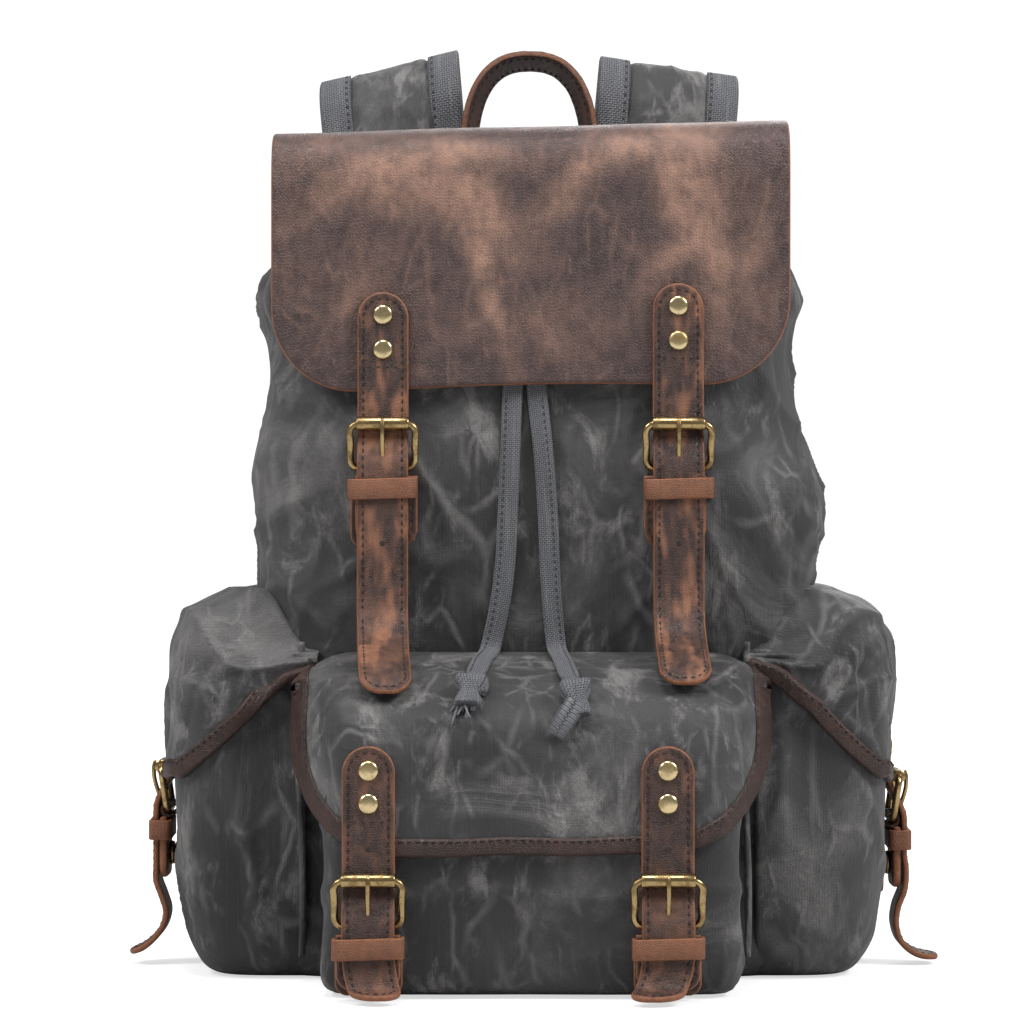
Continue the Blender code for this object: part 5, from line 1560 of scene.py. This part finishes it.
class BACKPACK_OT_buckles(bpy.types.Operator):
    """Make the brass frames, prongs and rollers, and their tabs, keepers, patches and snaps"""
    bl_idname = "backpack.buckles"
    bl_label = "Buckles and tabs"

    def execute(self, context):
        for place, side, seat, flap, top, roller, tab_end, snap, tail in strap_set():
            self.metal(place, side, seat, roller)
            self.tab(place, side, seat, flap, roller, tab_end, snap)
        return {"FINISHED"}

    def metal(self, place, side, seat, roller):
        """The frame is a round bar carried round a rectangle with bowed far corners; the roller is a tube."""
        heel = roller - BAR_DROP
        half, corner = 0.0157, 0.0048
        turn = np.linspace(0, np.pi / 2, 9)
        parts = []
        for k, (a, b) in enumerate(((1, 1), (-1, 1), (-1, 0), (1, 0))):
            angle = turn + k * np.pi / 2
            middle_v = 0.0225 - corner if b else corner
            parts.append(np.stack([a * (half - corner) + corner * np.cos(angle),
                                   middle_v + corner * np.sin(angle)], -1))
        loop = evenly(np.vstack(parts + [parts[0][:1]]), 0.0011)[:-1]
        across = loop[:, 0] * (1 + 0.035 * bump(loop[:, 1], 0.021, 0.006))
        share = loop[:, 1] / 0.0225
        line = seat(np.stack([across, HEEL_LEVEL + (ROLLER_LEVEL - HEEL_LEVEL) * share,
                              heel + BAR_DROP * share], -1))
        outwards = seat(np.array([[0.0, 1.0, 0.0]])) - seat(np.zeros((1, 3)))
        frame_piece = surface(f"{place}_buckle_{side}",
                              [(wire(line, 0.00180, outwards[0], 12, True), None, None)],
                              "brass", f"{place}_frame_{side}")
        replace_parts(frame_piece, f"{place}_frame_{side}")
        ends = np.array([-0.0128, -0.0126, -0.0122, -0.006, 0, 0.006, 0.0122, 0.0126, 0.0128])
        bar = seat(np.stack([ends, np.full(9, ROLLER_LEVEL), np.full(9, roller)], -1))
        size = np.array([0.82, 0.95, 1, 1, 1, 1, 1, 0.95, 0.82])
        tube = surface(f"{place}_roller_tube_{side}",
                       [(wire(bar, 0.0034, outwards[0], 20, False, size), None, None)],
                       "brass", f"{place}_roller_{side}")
        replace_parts(tube, f"{place}_roller_{side}")
        curl = [(0, HEEL_LEVEL + 0.0031 * math.cos(a), heel + 0.0031 * math.sin(a))
                for a in np.radians([-150, -110, -70, -30, 0])]
        curl += [(0, HEEL_LEVEL + 0.0052, heel + 0.006), (0, ROLLER_LEVEL + 0.0046, roller - 0.007),
                 (0, ROLLER_LEVEL + 0.0049, roller - 0.001), (0, ROLLER_LEVEL + 0.0044, roller + 0.0026)]
        line = seat(curve_through(curl, 0.0012))
        size = np.interp(np.linspace(0, 1, len(line)), [0, 0.9, 1], [1, 0.95, 0.6])
        sideways = seat(np.array([[1.0, 0.0, 0.0]])) - seat(np.zeros((1, 3)))
        prong = surface(f"{place}_tongue_{side}",
                        [(wire(line, 0.0012, sideways[0], 10, False, size), None, None)],
                        "brass", f"{place}_prong_{side}")
        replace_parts(prong, f"{place}_prong_{side}")

    def tab(self, place, side, seat, flap, roller, tab_end, snap):
        """The tab is two layers of leather folded round the heel bar, with a keeper band sewn across it."""
        heel = roller - BAR_DROP
        aside = {"left": 0.0018, "right": -0.0018}[side] if place == "main" else 0.0
        route = Route([(aside, TAB_LEVEL, heel - 0.0035), (aside, TAB_LEVEL, (heel + tab_end) / 2),
                       (aside, TAB_LEVEL, tab_end)], seat)
        sheets = leaf_sheets(route, TAB_HALF, 0.0042, (0.0, 0.0082), 0.0014, 0.002, 14, 0.0003, 0.0026)
        piece = surface(f"{place}_tab_leather_{side}", sheets, "leather", flap)
        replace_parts(piece, f"{place}_tab_{side}")
        line = outline(TAB_HALF, route.length, (0.0, 0.0082), 0.0026, start=0.004)
        stitch(f"{place}_tab_stitching_{side}", lambda x, t, up: route.at(x, t, up + 0.0019), [line], flap)
        turn = np.linspace(-0.35 * np.pi, 1.35 * np.pi, 24)
        outer = np.stack([np.zeros(24), HEEL_LEVEL + 0.0033 * np.sin(turn),
                          heel + 0.0033 * np.cos(turn) - 0.0002], -1)
        loops = []
        for x0 in (-0.0068, 0.0068):
            course = outer + [x0, 0, 0]
            radial = unit(outer - [0, HEEL_LEVEL, heel])
            wide = np.repeat([[1.0, 0, 0]], 24, 0)
            loops.append((seat(sweep(course, wide, radial, slab_section(0.0041, 0.0011, 0.0008, 3))), None,
                          None))
        surface(f"{place}_tab_loop_{side}", loops, "leather", flap)
        self.keeper(place, side, seat, flap, heel)
        level = GAP + 0.0011
        patch = Route([(0, level, snap + 0.014), (0, level, snap), (0, level, snap - 0.014)], seat)
        sheets = leaf_sheets(patch, 0.016, 0.0022, (0.006, 0.006), 0.0009, 0.002, 10, 0.0002, 0.0025)
        piece = surface(f"{place}_patch_leather_{side}", sheets, "leather", "root")
        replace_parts(piece, f"{place}_patch_{side}")
        middle = seat(np.array([[0, 0.0024, snap], [0, 1.0024, snap]]))
        axis = middle[1] - middle[0]
        stud = [(0, 0.0020), (0.0042, 0.0020), (0.0058, 0.0014), (0.0060, 0), (0, 0)]
        surface(f"{place}_snap_socket_{side}", [(turned(stud, middle[0], axis), None, None)], "brass", "root")
        stud = [(0, 0.0002), (0.0056, 0.0002), (0.0060, 0.0008), (0.0060, 0.0024), (0, 0.0024)]
        surface(f"{place}_snap_stud_{side}", [(turned(stud, middle[0] + axis * 0.0020, axis), None, None)],
                "brass", flap)

    def keeper(self, place, side, seat, flap, heel):
        """A band carried round the strap and tab: a rounded rectangle of a line, a thin slab of a section."""
        top = heel - 0.0048
        tall = 0.0050
        middle = (TAB_LEVEL - 0.0021 + STRAP_LOW + 0.0015) / 2
        reach = (STRAP_LOW + 0.0015 - TAB_LEVEL + 0.0021) / 2 + 0.0011
        ring = slab_section(0.0162, reach, 0.0022, 6)
        ring = evenly(np.vstack([ring, ring[:1]]), 0.0009)[:-1]
        line = np.stack([ring[:, 0], middle + ring[:, 1], np.full(len(ring), top - tall)], -1)
        along = unit(np.roll(line, -1, axis=0) - np.roll(line, 1, axis=0))
        up = np.repeat([[0.0, 0.0, 1.0]], len(line), 0)
        out = np.cross(along, up)
        bow = 0.0004 * np.sin(ring[:, 0] * 90)
        line[:, 2] += bow
        grid = sweep(line, up, out, slab_section(tall, 0.0009, 0.0006, 3), closed=True)
        section = slab_section(tall, 0.0009, 0.0006, 3)
        rim = tall - np.abs(np.vstack([section, section[:1]])[:, 0])
        rims = np.broadcast_to(rim[None, :], grid.shape[:2])
        surface(f"{place}_keeper_{side}", [(seat(grid), None, rims)], "keeper leather", flap)


# ---------------------------------------------------------------- handle, shoulder straps, webbing

class BACKPACK_OT_handle(bpy.types.Operator):
    """Make the arched leather handle behind the flap"""
    bl_idname = "backpack.handle"
    bl_label = "Handle"

    def execute(self, context):
        low, high = (np.array(corner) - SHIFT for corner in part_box("handle"))
        middle_y = (low[1] + high[1]) / 2
        half_span = high[0] - 0.0030
        rise = high[2] - low[2] - 0.0035
        foot = low[2]
        turn = np.linspace(0, np.pi, 90)
        cos, sin = np.cos(turn), np.clip(np.sin(turn), 0, 1)
        arch = np.stack([-half_span * np.sign(cos) * np.abs(cos) ** 0.80, np.full(90, middle_y),
                         foot + rise * sin ** 0.72], -1)
        arch[:, 0] *= 1 + 0.10 * bump(arch[:, 2], foot, 0.012)
        arch = evenly(arch, 0.0012)
        along = unit(np.gradient(arch, axis=0))
        out = unit(np.stack([-along[:, 2], np.zeros(len(arch)), along[:, 0]], -1))
        lean = math.radians(24)
        near = np.array([0.0, -1.0, 0.0]) * math.cos(lean) + out * math.sin(lean)
        thick = unit(np.cross(along, near))
        section = slab_section(0.0086, 0.0019, 0.0012, 5)
        grid = sweep(arch, near, thick, section)
        closed = np.vstack([section, section[:1]])
        rim = 0.0086 - np.abs(closed[:, 0]) + 0.0006
        rims = np.broadcast_to(rim[None, :], grid.shape[:2])
        run = np.concatenate([[0], run_of(arch), [run_of(arch)[-1]]])
        flat = np.stack(np.broadcast_arrays(run_of(closed)[None, :], run[:, None]), -1)
        rough = noise(grid, 0.0035, 91) * 0.00035
        grid = grid + np.array([0.3, 0.6, 0.5]) * rough[..., None]
        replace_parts(surface("handle_leather", [(grid, flat, rims)], "leather", "handle"), "handle")
        distance = run_of(arch)

        def place(x, t, lift):
            base, side, up = (np.stack([np.interp(t, distance, part[:, k]) for k in range(3)], -1)
                              for part in (arch, near, thick))
            return base + side * x[..., None] + up * lift[..., None]

        stops = np.linspace(0.004, distance[-1] - 0.004, 60)
        lines = [np.stack([np.full(60, x), stops], -1) for x in (0.0055, -0.0055)]
        stitch("handle_stitching", lambda x, t, up: place(x, t, up + 0.0018 + x * 0), lines, "handle")
        return {"FINISHED"}


class BACKPACK_OT_shoulder_straps(bpy.types.Operator):
    """Make the padded shoulder straps, their webbing edges, the lower webbing and its sliders"""
    bl_idname = "backpack.shoulder_straps"
    bl_label = "Shoulder straps"

    def execute(self, context):
        for side, sign, slope in (("left", -1, 0.24), ("right", 1, 0.15)):
            self.strap(side, sign, slope)
            self.lower(side, sign)
        return {"FINISHED"}

    def strap(self, side, sign, slope):
        """A padded leaf over a curve up, over and down the back; the middle swells past the folded edges."""
        low, high = (np.array(corner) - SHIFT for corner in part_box("shoulder_strap_" + side))
        x = (low[0] + high[0]) / 2
        out, top = HALF_DEPTH + 0.006, MOUTH - 0.012
        run = [(out, top), (out + 0.010, top + 0.014), (out + 0.0165, top + 0.040),
               (out + 0.022, top + 0.067),
               (out + 0.035, top + 0.082), (out + 0.050, top + 0.070), (out + 0.057, top + 0.035),
               (out + 0.057, top - 0.020), (out + 0.050, top - 0.100), (out + 0.037, top - 0.180),
               (out + 0.027, top - 0.232)]

        def relief(across, along):
            moved = np.zeros(across.shape + (3,))
            crest = bump(along, 0.098, 0.055)
            moved[..., 2] = (-sign * slope * across - 0.0035) * crest
            moved[..., 0] = sign * 0.004 * bump(along, 0.09, 0.04)
            return moved

        def narrow(along):
            return 1.03 - 0.62 * ease(route_length - 0.11, route_length, along)

        route_length = run_of(curve_through([(0, y, z) for y, z in run]))[-1]
        route = Route([(0, y, z) for y, z in run], plain_seat(x), relief, narrow)
        half = high[0] - x
        wide = sizes().edging

        def crown(rim, across, along):
            spots = np.stack([across, along, np.full(across.shape, float(sign))], -1)
            swell = ease(wide - 0.003, wide + 0.004, rim)
            folds = 0.0012 * ridges(spots, 0.03, 81 + sign, 4.0) + 0.0006 * noise(spots, 0.02, 83)
            return swell * (0.0022 + folds)

        sheets = leaf_sheets(route, half, 0.0060, (0.004, 0.014), 0.0028, 0.0028, 48, crown=crown)
        body = "shoulder_strap_" + side
        pad = surface("strap_padding_" + side, sheets, "hood canvas", body)
        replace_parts(pad, body)
        swell_padding(pad, 0.004)
        for edge, first in (("inner", -sign), ("outer", sign)):
            stops = np.linspace(0.003, route.length - 0.012, 150)
            line = np.stack([np.full(150, first * half), stops], -1)
            if first > 0:
                line = line[::-1]
            section = binding_section(wide, 0.0030, 0.0010)
            surface(f"strap_edging_{edge}_{side}", band_sheets(route, line, section), "webbing", body)
            seam = np.stack([np.full(150, first * (half - wide + 0.0022)), stops], -1)
            stitch(f"strap_stitching_{edge}_{side}", lambda a, t, up: route.at(a, t, up + 0.0030 + 0.0007),
                   [seam],
                   body, "grey thread", 0.0042, length=0.0027, radius=0.00045)

    def lower(self, side, sign):
        """A straight run of webbing in two close layers, and a brass slider round it."""
        upper = np.array([sign * 0.0715, HALF_DEPTH + 0.033, MOUTH - 0.248])
        foot = np.array([sign * (HALF_WIDTH - 0.034), HALF_DEPTH + 0.0035, 0.033])
        along = unit(foot - upper)
        across = unit(np.cross(along, [0.0, 1.0, 0.0]))
        deep = np.cross(across, along)
        deep = deep * np.sign(deep[1])
        length = np.linalg.norm(foot - upper)

        def seat(p):
            return upper + p[..., :1] * across + p[..., 1:2] * deep - p[..., 2:] * along

        points = [(0, 0, 0.016), (0, 0, 0), (0, 0, -length / 3), (0, 0, -length * 2 / 3), (0, 0, -length)]
        route = Route(points, seat)
        sheets = leaf_sheets(route, 0.0125, 0.0019, (0, 0), 0.0008, 0.003, 12)
        piece = surface("lower_webbing_" + side, sheets, "webbing", None)
        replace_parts(piece, "webbing_" + side)
        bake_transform(piece)
        start = upper + along * 0.020
        hole = (0.0132, 0.0017)
        section = slab_section(0.0074, 0.00125, 0.0009, 4)
        ring = slab_section(hole[0] + 0.0016, hole[1] + 0.00135, 0.0016, 6)
        ring = evenly(np.vstack([ring, ring[:1]]), 0.0012)[:-1]
        line = start + ring[:, :1] * across + ring[:, 1:] * deep + along * 0.007
        forward = unit(np.roll(line, -1, axis=0) - np.roll(line, 1, axis=0))
        fixed = np.repeat(along[None], len(line), 0)
        grid = sweep(line, fixed, np.cross(forward, fixed), section, closed=True)
        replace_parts(surface("brass_slider_" + side, [(grid, None, None)], "brass", "slider_" + side),
                    "slider_" + side)


SWELL_VOXEL = 0.005
SWELL_PRESSURE = 4.0
SWELL_STIFFNESS = 25
SWELL_BENDING = 1.5
SWELL_FRAMES = 20
SWELL_PARTS = 60
HELD_ABOVE_LOWEST = 0.008
HELD_BEHIND_RIM = 0.006


def nearest_of(spots, places):
    """The numbers of the four spots nearest to each place, from the square of every distance between them."""
    apart = (places ** 2).sum(1)[:, None] + (spots ** 2).sum(1) - 2 * places @ spots.T
    return np.argpartition(apart, 4, axis=1)[:, :4]


def swell_padding(piece, most):
    """Cloth simulation under pressure on a coarse copy; its soft swelling is carried back to the fine mesh.

    Each fine point moves by the mean move of its nearest coarse points, no further than the most allowed.
    """
    scene = bpy.context.scene
    copy = bpy.data.objects.new("padding_trial", piece.data.copy())
    scene.collection.objects.link(copy)
    remesh = copy.modifiers.new("remesh", "REMESH")
    remesh.mode = "VOXEL"
    remesh.voxel_size = SWELL_VOXEL
    coarse = bpy.data.meshes.new_from_object(copy.evaluated_get(bpy.context.evaluated_depsgraph_get()))
    copy.modifiers.clear()
    copy.data = coarse
    before = np.zeros(len(coarse.vertices) * 3)
    coarse.vertices.foreach_get("co", before)
    pins = copy.vertex_groups.new(name="held")
    low = before.reshape(-1, 3)
    lowest = low[:, 2] < low[:, 2].min() + HELD_ABOVE_LOWEST
    rearmost = low[:, 1] < low[:, 1].min() + HELD_BEHIND_RIM
    held = np.where(lowest | rearmost)[0]
    pins.add(held.tolist(), 1.0, "REPLACE")
    cloth_change = copy.modifiers.new("swell", "CLOTH")
    settings = cloth_change.settings
    settings.use_pressure = True
    settings.uniform_pressure_force = SWELL_PRESSURE
    settings.quality = 5
    settings.tension_stiffness = SWELL_STIFFNESS
    settings.compression_stiffness = SWELL_STIFFNESS
    settings.bending_stiffness = SWELL_BENDING
    settings.vertex_group_mass = "held"
    settings.effector_weights.gravity = 0.0
    cloth_change.point_cache.frame_start = 1
    cloth_change.point_cache.frame_end = SWELL_FRAMES
    for number in range(1, SWELL_FRAMES + 1):
        scene.frame_set(number)
    result = copy.evaluated_get(bpy.context.evaluated_depsgraph_get()).data
    after = np.zeros(len(before))
    result.vertices.foreach_get("co", after)
    scene.frame_set(1)
    moves = (after - before).reshape(-1, 3)
    size = np.linalg.norm(moves, axis=1, keepdims=True)
    moves = moves * np.minimum(1, most / np.maximum(size, 1e-9))
    fine = np.zeros(len(piece.data.vertices) * 3)
    piece.data.vertices.foreach_get("co", fine)
    fine = fine.reshape(-1, 3)
    moved = [part + moves[nearest_of(low, part)].mean(1) for part in np.array_split(fine, SWELL_PARTS)]
    piece.data.vertices.foreach_set("co", np.concatenate(moved).ravel())
    piece.data.update()
    bpy.data.objects.remove(copy, do_unlink=True)


# ---------------------------------------------------------------- panel and main

STEPS = ("stage", "drawstring", "body", "inside", "pockets", "main_flap", "pocket_flaps", "straps", "buckles",
         "handle", "shoulder_straps")


class BACKPACK_PT_pieces(bpy.types.Panel):
    """Lists the bag's pieces, sizes and colours"""
    bl_idname = "BACKPACK_PT_pieces"
    bl_label = "Travel backpack"
    bl_space_type = "VIEW_3D"
    bl_region_type = "UI"
    bl_category = "Backpack"

    def draw(self, context):
        for step in STEPS:
            self.layout.operator("backpack." + step)
        for group_name in ("backpack_sizes", "backpack_colours"):
            values = getattr(context.scene, group_name)
            box = self.layout.box()
            for key in values.__annotations__:
                box.prop(values, key)


CLASSES = (BackpackSizes, BackpackColours, BACKPACK_OT_stage, BACKPACK_OT_drawstring, BACKPACK_OT_body,
           BACKPACK_OT_inside, BACKPACK_OT_pockets, BACKPACK_OT_main_flap, BACKPACK_OT_pocket_flaps,
           BACKPACK_OT_straps, BACKPACK_OT_buckles, BACKPACK_OT_handle, BACKPACK_OT_shoulder_straps,
           BACKPACK_PT_pieces)


def register():
    for item in CLASSES:
        bpy.utils.register_class(item)
    bpy.types.Scene.backpack_sizes = PointerProperty(type=BackpackSizes)
    bpy.types.Scene.backpack_colours = PointerProperty(type=BackpackColours)


def unregister():
    del bpy.types.Scene.backpack_colours
    del bpy.types.Scene.backpack_sizes
    for item in reversed(CLASSES):
        bpy.utils.unregister_class(item)


def main():
    register()
    for step in STEPS:
        getattr(bpy.ops.backpack, step)()
    bpy.context.view_layer.update()


if __name__ == "__main__":
    main()
